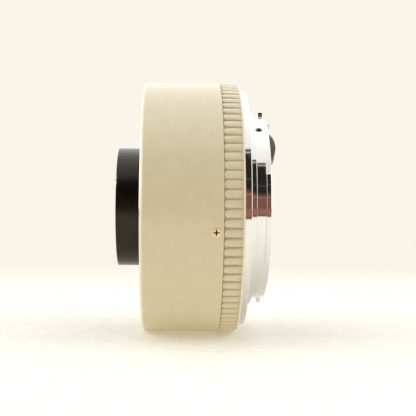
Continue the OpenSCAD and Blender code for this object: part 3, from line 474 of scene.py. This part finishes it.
# Circuit board: green solder mask over copper, with moulded chips, and a brown film strip that
# leads to the camera side contacts. It sits on bosses of the frame and isn't seen.
mask_green, shader, spot = new_finish("solder_mask", {"Roughness": 0.35})
tracks = spot.node("ShaderNodeTexBrick", values={"Vector": spot, "Scale": 700})
tracks.blend((0.02, 0.10, 0.05, 1), (0.05, 0.20, 0.10, 1)).into(shader["Base Color"])
resin, shader, spot = new_finish("moulded_resin", {})
mottle = speckle(spot, 4000)
mottle.blend((0.012, 0.012, 0.013, 1), (0.03, 0.03, 0.03, 1)).into(shader["Base Color"])
(0.45 + 0.2 * mottle).into(shader["Roughness"])
film, shader, spot = new_finish("brown_film", {"Roughness": 0.3})
tracks = spot.node("ShaderNodeTexWave", values={"Vector": spot, "Scale": 900})
tracks.blend((0.30, 0.14, 0.03, 1), (0.46, 0.24, 0.06, 1)).into(shader["Base Color"])
dress(mask_green, "circuit_board")
dress(resin, "board_chips")
dress(film, "flex_strip")

# Well plate: the floor of the lens side well, pressed from black plastic with a fine spark-eroded
# grain. It closes the frame round the tube and is cut open for the contact block.
well_floor, well_back, well_in, well_out, well_screw_r = -19.1, -18.3, 16.369, 27.0, 25.9
contact_turn, contact_r = 37, 21.5
plastic, shader, spot = new_finish("black_plastic", {"Specular IOR Level": 0.45})
grain = speckle(spot, 5200, 2)
grain.blend((0.010, 0.010, 0.011, 1), (0.022, 0.022, 0.023, 1)).into(shader["Base Color"])
(0.42 + 0.2 * grain).into(shader["Roughness"])
relief(spot, grain, 0.3, 0.01, shader)
small_hole = [(0, -1.5), (0.58, -1.5), (0.58, -0.5), (0.98, 0), (0.98, 0.5), (0, 0.5)]
plate = turned("well_plate_pressing", [
    (well_floor, well_in, 0.08), (well_floor, well_out, 0.08), (well_back, well_out, 0.05),
    (well_back, well_in, 0.05)], plastic)
opening = sector("opening", contact_turn, 65, [
    (well_floor - 1, 19.8, 0), (well_floor - 1, 23.2, 0), (well_back + 0.5, 23.2, 0),
    (well_back + 0.5, 19.8, 0)], plastic)
well_screw_turns = (contact_turn + 75, contact_turn + 180, contact_turn - 75)
cut(plate, opening.data, *(lathe(small_hole, placed(t, well_floor, well_screw_r, "lens"))
                           for t in well_screw_turns))
bpy.data.objects.remove(opening)
seat(plate, "body", "black_plastic", "well_plate")

# Lens side contacts: a curved black plastic block with ten gold plated pins. Each pin stands on a
# coil spring, has a rounded tip and can be pressed into the block.
gold, shader, spot = new_finish("gold_plate", {"Metallic": 1.0})
mottle = speckle(spot, 1800)
mottle.blend((0.72, 0.47, 0.15, 1), (0.86, 0.62, 0.26, 1)).into(shader["Base Color"])
(0.18 + 0.2 * mottle).into(shader["Roughness"])
block_front, block_back = well_floor - 1.2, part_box("pin_block")[1][0] / mm
block_in, block_out, pin_r, collar_r = 19.9, 23.1, 0.5, 0.68
pin_step, block_screw_step = 5.2, 55.2
pin_turns = [contact_turn + (k - 4.5) * pin_step for k in range(10)]
block_screw_turns = (contact_turn - block_screw_step / 2, contact_turn + block_screw_step / 2)
pin_block = sector("pin_block_moulding", contact_turn, 64, [
    (block_front, block_in, 0.2), (block_front, block_out, 0.2), (block_back, block_out, 0.05),
    (block_back, block_in, 0.05)], plastic)
mouth = [(0, -1), (0.55, -1), (0.55, -0.15), (0.72, 0), (0.72, 0.3), (0, 0.3)]
cut(pin_block, *(lathe(mouth, placed(t, block_front, contact_r, "lens"), 24) for t in pin_turns),
    *(lathe(small_hole, placed(t, block_front, contact_r, "lens"), 32) for t in block_screw_turns))
seat(pin_block, "body", "black_plastic", "pin_block")
tip = [(pin_r * math.cos(math.radians(a)), 0.7 + pin_r * math.sin(math.radians(a)))
       for a in range(0, 91, 15)]
for k, turn in enumerate(pin_turns, 1):
    foot = block_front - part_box(f"contact_pin_{k}")[1][0] / mm
    collar = [(0, foot), (collar_r - 0.02, foot), (collar_r, foot + 0.04), (collar_r, foot + 0.46),
              (collar_r - 0.04, foot + 0.5), (pin_r, foot + 0.5)]
    pin = piece_of(f"contact_pin_{k}_gold", lathe(
        collar + tip, placed(turn, block_front, contact_r, "lens"), 32), gold)
    seat(pin, f"contact_pin_{k}", "gold", f"contact_pin_{k}")


# Small screws and springs: bright steel. Every screw is a countersunk cross-head, and a set of
# them stands round the axis. A coil spring stands under each contact pin.
def copies_round_axis():
    """A tree that sets copies of a unit round the optical axis, and welds those that meet."""
    tree = bpy.data.node_groups.new("copies_round_axis", "GeometryNodeTree")
    for name, kind in (("Unit", "Object"), ("Copies", "Int"), ("First turn", "Float"),
                       ("Step turn", "Float"), ("Weld", "Float"), ("Finish", "Material")):
        tree.interface.new_socket(name, in_out="INPUT", socket_type="NodeSocket" + kind)
    tree.interface.new_socket("Geometry", in_out="OUTPUT", socket_type="NodeSocketGeometry")
    given = {socket.name: Wire(tree, socket)
             for socket in tree.nodes.new("NodeGroupInput").outputs if socket.name}
    start = Wire(tree)
    unit = start.node("GeometryNodeObjectInfo", values={"Object": given["Unit"]}, out="Geometry")
    places = start.node("GeometryNodePoints", values={"Count": given["Copies"]})
    turn = given["First turn"] + given["Step turn"] * start.node("GeometryNodeInputIndex")
    spun = start.node("FunctionNodeEulerToRotation", values={
        "Euler": start.node("ShaderNodeCombineXYZ", values={"X": turn})})
    copies = start.node("GeometryNodeInstanceOnPoints", values={
        "Points": places, "Instance": unit, "Rotation": spun})
    copies = start.node("GeometryNodeRealizeInstances", values={"Geometry": copies})
    copies = start.node("GeometryNodeMergeByDistance", values={
        "Geometry": copies, "Distance": given["Weld"]})
    copies = start.node("GeometryNodeSetMaterial", values={
        "Geometry": copies, "Material": given["Finish"]})
    copies.into(tree.nodes.new("NodeGroupOutput").inputs["Geometry"])
    return tree


round_tree = copies_round_axis()


def round_axis(name, unit, copies, first, step, finish, weld=1e-9, sharp=40):
    """One plain mesh with copies of a unit at equal turns about the optical axis."""
    pattern = bpy.data.objects.new("pattern", unit)
    scene.collection.objects.link(pattern)
    piece = bpy.data.objects.new(name, bpy.data.meshes.new(name))
    scene.collection.objects.link(piece)
    copier = piece.modifiers.new("copies", "NODES")
    copier.node_group = round_tree
    values = {"Unit": pattern, "Copies": copies, "First turn": math.radians(first),
              "Step turn": math.radians(step), "Weld": weld, "Finish": finish}
    for item in round_tree.interface.items_tree:
        if item.in_out == "INPUT":
            copier[item.identifier] = values[item.name]
    settle(piece, sharp)
    bpy.data.objects.remove(pattern)
    return piece


def screw(head_d, head_h, thread_d, length, place, slot_l, slot_w, finish):
    """A countersunk cross-head screw with its head flush at the place."""
    head, thread = head_d / 2, thread_d / 2
    blank = piece_of("screw", lathe([
        (0, -length), (thread - 0.15, -length), (thread, -length + 0.15), (thread, -head_h),
        (head, -0.10), (head, -0.06), (head - 0.05, -0.015), (head - 0.15, 0), (0, 0)], place),
        finish)
    cross = [place @ Matrix.Rotation(math.radians(turn), 4, "Z") for turn in (0, 90)]
    cut(blank, *(tapered(slot_l, slot_w, -head_h * 0.75, 0.3, arm, 0.8) for arm in cross))
    made = blank.data
    bpy.data.objects.remove(blank)
    return made


steel, shader, spot = new_finish("bright_steel", {"Metallic": 1.0})
scuff = speckle(spot, 2200)
scuff.blend((0.50, 0.49, 0.47, 1), (0.68, 0.67, 0.65, 1)).into(shader["Base Color"])
(0.22 + 0.2 * scuff).into(shader["Roughness"])


def small_screw(turn, x, r, length):
    """One of the small screws that face the lens."""
    return screw(1.9, 0.5, 1.1, length, placed(turn, x, r, "lens"), 1.2, 0.28, steel)


unit = small_screw(0, well_floor, well_screw_r, 2.6)
heads = round_axis("well_plate_screws_heads", unit, 2, well_screw_turns[2], 150, steel)
seat(heads, "body", "steel", "well_plate_screws")
lone = small_screw(well_screw_turns[1], well_floor, well_screw_r, 2.6)
seat(piece_of("well_plate_screw_opposite", lone, steel), "body", "steel")
unit = small_screw(0, block_front, contact_r, 6.0)
heads = round_axis("pin_block_screws_heads", unit, 2, block_screw_turns[0], block_screw_step, steel)
seat(heads, "body", "steel", "pin_block_screws")
dress(steel, "front_tube_screws", "board_screws", "lens_mount_spring", "release_post")


def coil(name, length, wire_d, radius, turns, place):
    """A coil spring of round wire along the Z of its place, and the middles of its two ends."""
    form = bmesh.new()
    sides, steps = 8, round(turns * 20)
    section = [(wire_d / 2 * math.cos(2 * math.pi * s / sides),
                wire_d / 2 * math.sin(2 * math.pi * s / sides)) for s in range(sides)]
    rows = []
    for k in range(steps + 1):
        turn, z = 2 * math.pi * turns * k / steps, wire_d / 2 + (length - wire_d) * k / steps
        rows.append([form.verts.new(place @ (Vector((
            (radius + out) * math.cos(turn), (radius + out) * math.sin(turn), z + up)) * mm))
            for out, up in section])
    for here, there in zip(rows, rows[1:]):
        for k in range(sides):
            n = (k + 1) % sides
            form.faces.new((here[k], here[n], there[n], there[k]))
    form.faces.new(rows[0])
    form.faces.new(rows[-1])
    bmesh.ops.recalc_face_normals(form, faces=form.faces)
    ends = [place @ Vector((0, 0, z * mm)) for z in (0, length)]
    return piece_of(name, mesh_of(form, name), steel), ends


spring_end, spring_foot = (corner[0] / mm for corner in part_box("pin_springs"))
spring_l, spring_wire = spring_foot - spring_end, 0.16
for k, turn in enumerate(pin_turns, 1):
    spring, ends = coil(f"pin_spring_{k}", spring_l, spring_wire, collar_r - spring_wire, 2.5,
                        placed(turn, spring_foot, contact_r, "lens"))
    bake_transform(spring)
    if k == 1:
        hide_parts("pin_springs")

# Lens mount: turned brass with satin chrome, screwed to the frame. Three tabs in its throat hold
# the lugs of a lens, and the lock pin stands out through it.
lens_face, throat_r, flange_r = -27.3, 26.7, 32.1
mount_screw_r, mount_turns = 29.6, [82 + 90 * k for k in range(4)]
chrome, shader, spot = new_finish("satin_chrome", {"Metallic": 1.0})
rings = speckle(spot, 1, 3, (6000, 30, 30))
touch = speckle(spot, 260, 4)
rings.blend((0.82, 0.81, 0.78, 1), (0.90, 0.89, 0.86, 1)).into(shader["Base Color"])
(0.045 + 0.05 * rings + 0.05 * touch.step(0.55, 0.75)).into(shader["Roughness"])
relief(spot, rings, 0.08, 0.002, shader)
mount_hole = [(0, -3), (0.83, -3), (0.83, -0.75), (1.53, 0), (1.53, 0.5), (0, 0.5)]


def joined(name, finish, *pieces):
    """One piece from several that touch."""
    form = bmesh.new()
    for piece in pieces:
        form.from_mesh(piece.data)
        bpy.data.objects.remove(piece)
    return piece_of(name, mesh_of(form, name), finish)


tab_front, tab_back, tab_r = -25.45, -23.3, 25.0
lens_ring = turned("lens_mount_turning", [
    (lens_face, throat_r, 0.2), (lens_face, flange_r, 0.15), (-25.5, flange_r, 0.05),
    (-25.5, 28.05, 0.05), (tab_back, 28.05, 0.05), (tab_back, throat_r, 0.1)], chrome)
lock_turn, lock_r, lock_pin_r = 307, 30.0, 1.1
cut(lens_ring, *(lathe(mount_hole, placed(t, lens_face, mount_screw_r, "lens")) for t in mount_turns),
    lathe([(0, -3), (1.15, -3), (1.15, -0.1), (1.25, 0), (1.25, 0.5), (0, 0.5)],
          placed(lock_turn, lens_face, lock_r, "lens")))
lug_starts, lug_spans = (71, 182, 311), (52, 61, 52)
tabs = []
for k in range(3):
    gap = (lug_starts[(k + 1) % 3] - lug_starts[k]) % 360 - lug_spans[k]
    tabs.append(sector(f"tab_{k}", lug_starts[k] + lug_spans[k] + gap / 2 + 60, gap - 8, [
        (tab_front, tab_r, 0.15), (tab_front, throat_r + 0.6, 0), (tab_back, throat_r + 0.6, 0),
        (tab_back, tab_r, 0.15)], chrome))
seat(joined("lens_mount", chrome, lens_ring, *tabs), "body", "mount_chrome", "lens_mount_ring")
unit = screw(3.0, 0.75, 1.6, 5.0, placed(0, lens_face, mount_screw_r, "lens"), 1.9, 0.36, steel)
heads = round_axis("lens_mount_screw_heads", unit, 4, mount_turns[0], 90, steel)
seat(heads, "body", "steel", "lens_mount_screws")

# Release: a ridged black slider in the barrel, and the steel lock pin that it draws back. Both
# hang on one post and move along the barrel against a coil spring.
slider_low, slider_high, slider_start, slider_end = 33.7, 35.2, -23.2, -16.8


def ridges(drop):
    """The slider's outline, lowered a little towards its two ends."""
    top = slider_high - drop
    points = [(slider_start, slider_low, 0.05), (slider_start, top - 0.5, 0.15)]
    for k in range(5):
        at = slider_start + 0.5 + k * 1.08
        points += [(at, top - 0.5, 0.06), (at + 0.27, top, 0.08), (at + 0.70, top, 0.08)]
    points += [(slider_end - 0.5, top - 0.5, 0.06), (slider_end, top - 0.5, 0.15),
               (slider_end, slider_low, 0.05)]
    return rounded(points, 3)


edge_turns = [(-7.5, 0.30), (-7.42, 0.17), (-7.3, 0.07), (-7.1, 0.0)]
slider_rows = edge_turns + [(k, 0.0) for k in range(-6, 7)] + [(-t, d) for t, d in edge_turns[::-1]]
slider = piece_of("release_slider_moulding", skin("release_slider", [
    (lock_turn + t, ridges(d)) for t, d in slider_rows]), plastic)
seat(slider, "release", "black_plastic", "release_slider")
pin = piece_of("lock_pin_turning", lathe([
    (0, -10.5), (lock_pin_r - 0.1, -10.5), (lock_pin_r, -10.4), (lock_pin_r, 1.25), (1.07, 1.33),
    (1.0, 1.42), (0.9, 1.48), (0.8, 1.5), (0, 1.5)], placed(lock_turn, lens_face, lock_r, "lens")),
    steel)
seat(pin, "release", "steel", "lock_pin")
lock_wire, lock_spring_l = 0.26, 6
lock_back = sum(corner[0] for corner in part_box("lock_spring")) / 2 / mm - lock_spring_l / 2
spring, ends = coil("lock_spring_coil", lock_spring_l, lock_wire, lock_pin_r - lock_wire, 6,
                    placed(lock_turn, lock_back, lock_r, "camera"))
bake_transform(spring)
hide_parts("lock_spring")

# Rear baffle: black plastic, a plate under the camera mount with a stepped funnel that keeps
# stray light from the rear element.
funnel_in, funnel_end, step_r, step_l = 13.201, -7.349, 1.5247, 1.39975
plate_front, flange_back, plate_r = -2.95, -1.75, 26.71
funnel = [(funnel_in + k * step_r, funnel_end + (k + side) * step_l)
          for k in range(4) for side in (0, 1)]
back = [(funnel_in + (k + side) * step_r + 0.8, funnel_end + k * step_l)
        for k in range(3, -1, -1) for side in (1, 0)]
outline = funnel + [(plate_r, flange_back), (plate_r, plate_front), (20.1, plate_front)] + back
baffle = turned("rear_baffle_moulding", [(x, r, 0.06) for r, x in outline], plastic)
seat(baffle, "body", "black_plastic", "rear_baffle")


# Camera side contacts: a curved black plastic block with two rounded humps. The large one carries
# three flush gold contacts, and on the small one two stand out and reach down the outer side.
def hump(turn, middle, half_turn, high, skin_depth):
    """Height of a hump's rounded top at a turn, or of a layer at some depth under it."""
    w, rise = math.radians(half_turn) * contact_r, high - hump_base
    radius = (w * w + rise * rise) / (2 * rise)
    away = contact_r * math.sin(math.radians(turn - middle))
    reach = (radius - skin_depth) ** 2 - away * away
    return high - radius + math.sqrt(reach) if reach > 0 else 0.0


large, small, hump_base = (45.5, 16.5, 7.2), (11.5, 14.5, 6.95), 5.0


def humps(name, first, last, inner, outer, finish, depth=0.0, floor_depth=None, lip=0.25):
    """Part of the block, or of a layer on it, under the humps' tops between two turns and two radii."""
    rows = []
    steps = max(4, round((last - first) / 0.6))
    for j in range(steps + 1):
        turn = first + (last - first) * j / steps
        top = max(hump(turn, *large, depth), hump(turn, *small, depth))
        # the small hump slopes down towards the inside
        drop = 1.2 * (outer - inner) / (block_out - block_in) * max(0.0, min(1.0, (30 - turn) / 6))
        if floor_depth is None:
            top = max(top, hump_base)
            foot = inner_foot = flange_back
        else:
            foot = max(hump(turn, *large, floor_depth), hump(turn, *small, floor_depth))
            inner_foot = foot - drop
        rows.append((turn, rounded([(inner_foot, inner, 0), (foot, outer, 0), (top, outer, lip),
                                    (top - drop, inner, lip)], 4)))
    return piece_of(name, skin(name, rows), finish)


# painted sheen: this black plastic is painted a lighter grey than the rest
moulding, shader, spot = new_finish("grey_black_plastic", {"Specular IOR Level": 0.5})
grain = speckle(spot, 4200, 2)
grain.blend((0.040, 0.039, 0.036, 1), (0.060, 0.058, 0.054, 1)).into(shader["Base Color"])
(0.35 + 0.2 * grain).into(shader["Roughness"])
relief(spot, grain, 0.3, 0.01, shader)
block = humps("rear_contact_moulding", -3.5, 64.5, block_in, block_out, moulding)
seat(block, "body", "black_plastic", "rear_contact_block")
pad_in, half_pad = 20.4, 1.6
pads = []
for k in range(-1, 2):
    turn = large[0] + k * 5.4
    pads.append(humps(f"pad_{k}", turn - half_pad, turn + half_pad, pad_in, 22.6, gold,
                      depth=-0.01, floor_depth=0.3, lip=0.0))
for k in (-1, 1):
    turn = small[0] + 7 + k * 2.7
    pads.append(humps(f"side_pad_{k}", turn - half_pad, turn + half_pad, pad_in, block_out + 0.02, gold,
                      depth=-0.12, floor_depth=0.9, lip=0.1))
seat(joined("rear_contact_gold", gold, *pads), "body", "gold", "rear_contacts")

# Camera mount: turned brass with bright chrome, with a flange, a pilot, a spigot and three lugs.
# Four screws and the shim under it set the focus distance; a dark screw holds the contact block.
pilot_r, pilot_h, spigot_r, mount_h, mount_in = 26.6, 1.75, 24.9, 5.55, 23.3
lug_low, lug_high, lug_r, lug_root, lug_hollow = 4.1, 5.25, 26.4, 24.2, 0.4
camera_ring = turned("camera_mount_turning", [
    (flange_back, mount_in, 0.1), (flange_back, flange_r, 0.15), (0, flange_r, 0.2),
    (0, pilot_r, 0.08), (pilot_h, pilot_r, 0.15), (pilot_h, spigot_r, 0.08), (lug_low, spigot_r, 0.3),
    (mount_h, spigot_r - 0.17, 0.2), (mount_h, mount_in, 0.1)], chrome, steps=360)
contact_screw_x, contact_screw_turn = 3.066, 35.5
cut(camera_ring, *(lathe(mount_hole, placed(t, 0, mount_screw_r, "camera")) for t in mount_turns),
    lathe([(0, -1.5), (0.58, -1.5), (0.58, -0.6), (1.0, -0.2), (1.0, 0.5), (0, 0.5)],
          placed(contact_screw_turn, contact_screw_x, spigot_r)),
    lathe([(0, -4), (1.25, -4), (1.25, -0.1), (1.35, 0), (1.35, 1), (0, 1)],
          placed(lock_turn, 0, lock_r, "camera")))
lugs = []
for first, span in zip(lug_starts, lug_spans):
    # the end of a lug runs into the spigot in a hollow round
    ends = [(lug_hollow * (math.sin(a) - 1), spigot_r - 0.05 + lug_hollow * (1 - math.cos(a)))
            for a in (math.radians(15 * k) for k in range(7))]
    ends += [(0.02, lug_r - 0.15), (0.06, lug_r - 0.06), (0.15, lug_r)]
    ends = [(math.degrees(s / 26), r) for s, r in ends]
    rows = [(first + s, r) for s, r in ends]
    rows += [(first + 1 + (span - 2) * k / 50, lug_r) for k in range(51)]
    rows += [(first + span - s, r) for s, r in ends[::-1]]
    lugs.append(piece_of("lug", skin("lug", [(t, rounded([
        (lug_low, lug_root, 0), (lug_low, r, 0.12), (lug_high, r, 0.12), (lug_high, lug_root, 0)], 4))
        for t, r in rows]), chrome))
seat(joined("camera_mount", chrome, camera_ring, *lugs), "body", "mount_chrome", "camera_mount_ring")
unit = screw(3.0, 0.75, 1.6, 5.0, placed(0, 0, mount_screw_r, "camera"), 1.9, 0.36, steel)
heads = round_axis("camera_mount_screw_heads", unit, 4, mount_turns[0], 90, steel)
seat(heads, "body", "steel", "camera_mount_screws")
black_steel, shader, spot = new_finish("blackened_steel", {"Metallic": 0.6})
scuff = speckle(spot, 2600)
scuff.blend((0.02, 0.018, 0.016, 1), (0.05, 0.045, 0.04, 1)).into(shader["Base Color"])
(0.3 + 0.2 * scuff).into(shader["Roughness"])
unit = screw(1.9, 0.5, 1.1, 2.4, placed(contact_screw_turn, contact_screw_x, spigot_r - 0.25), 1.2,
             0.3, black_steel)
head = piece_of("rear_contact_screw_head", unit, black_steel)
seat(head, "body", "black_steel", "rear_contact_screw")

# Grip ring: aluminium with cream paint. Ninety rounded ribs are milled along it, and end at a
# smooth lip at the camera end. A smooth pad takes the place of some ribs under the index dot.
paint, shader, spot = new_finish("cream_paint", {
    "Specular IOR Level": 0.5, "Coat Weight": 0.6, "Coat Roughness": 0.22})
drift = speckle(spot, 320, 5)
grain = speckle(spot, 3800, 2)
along = spot.parts()[0]
# painted shade: the paint is darker down in the grooves between the ribs
painted_groove_shade = (1 - beyond(spot, body_r - 0.40, body_r - 0.06)) * along.step(-6.9 * mm, -6.8 * mm)
# painted highlight: the lip at the camera end is painted a lighter cream
lip = along.step(-2.28 * mm, -2.15 * mm)
cream = drift.step(0.3, 0.7).blend((0.598, 0.524, 0.362, 1), (0.624, 0.548, 0.382, 1))
cream = painted_groove_shade.blend(cream, (0.46, 0.385, 0.25, 1))
lip.blend(cream, (0.73, 0.65, 0.49, 1)).into(shader["Base Color"])
(0.28 + 0.16 * grain).into(shader["Roughness"])
relief(spot, grain, 0.35, 0.012, shader)
grip_start, grip_end, grip_in, rib_count = -6.79, -1.75, 31.2, 90
camera_dot_turn, camera_dot_x = 277, -4.475


def rib_height(x, turn):
    """Radius of the ring's outside: the lower of its turned outline and a rib's rounded crown."""
    seam_r, lip_drop, groove, half_pitch = 0.15, 0.36, 0.45, 180 / rib_count
    seam = seam_r * (1 - math.sqrt(1 - max(0.0, 1 - (x - grip_start) / seam_r) ** 2))
    bevel = max(0.0, min(lip_drop, (x - grip_end + 0.6) * 2.4), lip_drop + (x - grip_end + 0.45) * 0.3)
    rib_end = 0.3 * max(0.0, 1 - (x - grip_start) / 0.8) ** 2
    crown = groove * min(1.0, abs(turn) / half_pitch + rib_end) ** 2.6
    return body_r - max(seam, bevel, crown)


stations = [grip_start, -6.78, -6.75, -6.7, -6.62, -6.52, -6.38, -6.2, -6.0, -4.0, -2.6, -2.4,
            -2.35, -2.33, -2.3, -2.25, -2.2, -2.15, -2.0, -1.85, grip_end]
across = [-2, -1.94, -1.87, -1.79, -1.7, -1.6, -1.48, -1.35, -1.2, -1.02, -0.8, -0.55, -0.28, 0]
across += [-t for t in across[-2::-1]]
form = bmesh.new()
rows = []
for t in across:
    angle = math.radians(t)
    outline = [(x, rib_height(x, t)) for x in stations] + [(grip_end, grip_in), (grip_start, grip_in)]
    rows.append([form.verts.new((x * mm, -r * mm * math.sin(angle), r * mm * math.cos(angle)))
                 for x, r in outline])
for here, there in zip(rows, rows[1:]):
    for k in range(len(here)):
        n = (k + 1) % len(here)
        form.faces.new((here[k], here[n], there[n], there[k]))
first_rib = 0.6
grip = round_axis("grip_ring_ribs", mesh_of(form, "rib"), rib_count, first_rib, 360 / rib_count, paint,
                  weld=1e-6, sharp=50)
form = bmesh.new()
form.from_mesh(grip.data)
bmesh.ops.recalc_face_normals(form, faces=form.faces)
form.to_mesh(grip.data)
form.free()
pad = piece_of("dot_pad", lathe([(0, -1.2), (1.7, -1.2), (1.7, -0.06), (1.62, 0), (0, 0)],
                                placed(camera_dot_turn, camera_dot_x, body_r)), paint)
seat(joined("grip_ring_painted", paint, grip, pad), "body", "cream_paint", "grip_ring")

# Barrel shell: a drawn aluminium tube with cream paint, rounded at the front rim. It is held by
# four brass screws, and has a recess for the release slider and a seat for the index dot.
shell_start, shell_end, shell_in = -27.1, -6.87, 32.15
shell_screw_x, shell_screw_turn = -8.7, 10.3
recess_start, recess_end, recess_floor = -23.5, -14.5, 33.5
lens_dot_turn, lens_dot_x = 217, -23.35
shell = turned("barrel_shell_painted", [
    (shell_start, shell_in, 0.1), (shell_start, body_r, 1.35), (shell_end, body_r, 0.12),
    (shell_end, shell_in, 0.05)], paint, steps=360)
shell_hole = [(0, -3), (0.73, -3), (0.73, -0.75), (1.28, -0.02), (1.36, 0.06), (1.36, 0.5),
              (0, 0.5)]
dot_seat = [(0, -0.83), (1.23, -0.83), (1.23, 0.5), (0, 0.5)]
recess = sector("recess", lock_turn, 16, [
    (recess_start, recess_floor, 0.1), (recess_start, body_r + 0.5, 0),
    (recess_end, body_r + 0.5, 0), (recess_end, recess_floor, 0.1)], paint)
slot = piece_of("slot", lathe([(0, -3), (1.05, -3), (1.05, 3), (0, 3)],
                              placed(lock_turn, 0, body_r)), paint)
# the two halves of a round hole are drawn apart into a slot for the post
for point in slot.data.vertices:
    point.co.x += (-20.0 if point.co.x < 0 else -18.0) * mm
cut(shell, *(lathe(shell_hole, placed(shell_screw_turn + 90 * k, shell_screw_x, body_r))
             for k in range(4)),
    lathe(dot_seat, placed(lens_dot_turn, lens_dot_x, body_r)), recess.data, slot.data)
bpy.data.objects.remove(recess)
bpy.data.objects.remove(slot)
seat(shell, "body", "cream_paint", "barrel_shell")
brass, shader, spot = new_finish("plain_brass", {"Metallic": 1.0})
mottle = speckle(spot, 2400)
# painted shade: the cross recess of each screw head is painted nearly black
painted_recess_shade = 1 - beyond(spot, body_r - 0.12, body_r - 0.04)
bright = mottle.blend((0.80, 0.62, 0.33, 1), (0.92, 0.77, 0.48, 1))
painted_recess_shade.blend(bright, (0.045, 0.03, 0.012, 1)).into(shader["Base Color"])
(0.30 + 0.15 * mottle + 0.4 * painted_recess_shade).into(shader["Roughness"])
unit = screw(2.5, 0.75, 1.4, 4.2, placed(0, shell_screw_x, body_r), 1.6, 0.34, brass)
heads = round_axis("barrel_screw_heads", unit, 4, shell_screw_turn, 90, brass)
seat(heads, "body", "screw_brass", "barrel_screws")
dress(brass, "camera_mount_shim")

# Index dots: red enamel with a domed top, one at each mount, pressed into their seats. They show
# how to turn a lens onto the converter, and the converter onto a camera.
red, shader, spot = new_finish("red_enamel", {"Coat Weight": 0.6})
mottle = speckle(spot, 900)
mottle.blend((0.50, 0.012, 0.010, 1), (0.60, 0.02, 0.016, 1)).into(shader["Base Color"])
(0.25 + 0.1 * mottle).into(shader["Roughness"])
dot_r, dome_low, dome_h = 1.2, -0.05, 0.17
dome = [(dot_r * math.cos(math.radians(a)), dome_low + dome_h * math.sin(math.radians(a)))
        for a in range(0, 91, 15)]
for name, turn, x in (("lens_index_dot", lens_dot_turn, lens_dot_x),
                      ("camera_index_dot", camera_dot_turn, camera_dot_x)):
    dot = lathe([(0, -0.8), (dot_r, -0.8)] + dome, placed(turn, x, body_r))
    seat(piece_of(name + "_enamel", dot, red), "body", "index_red", name)
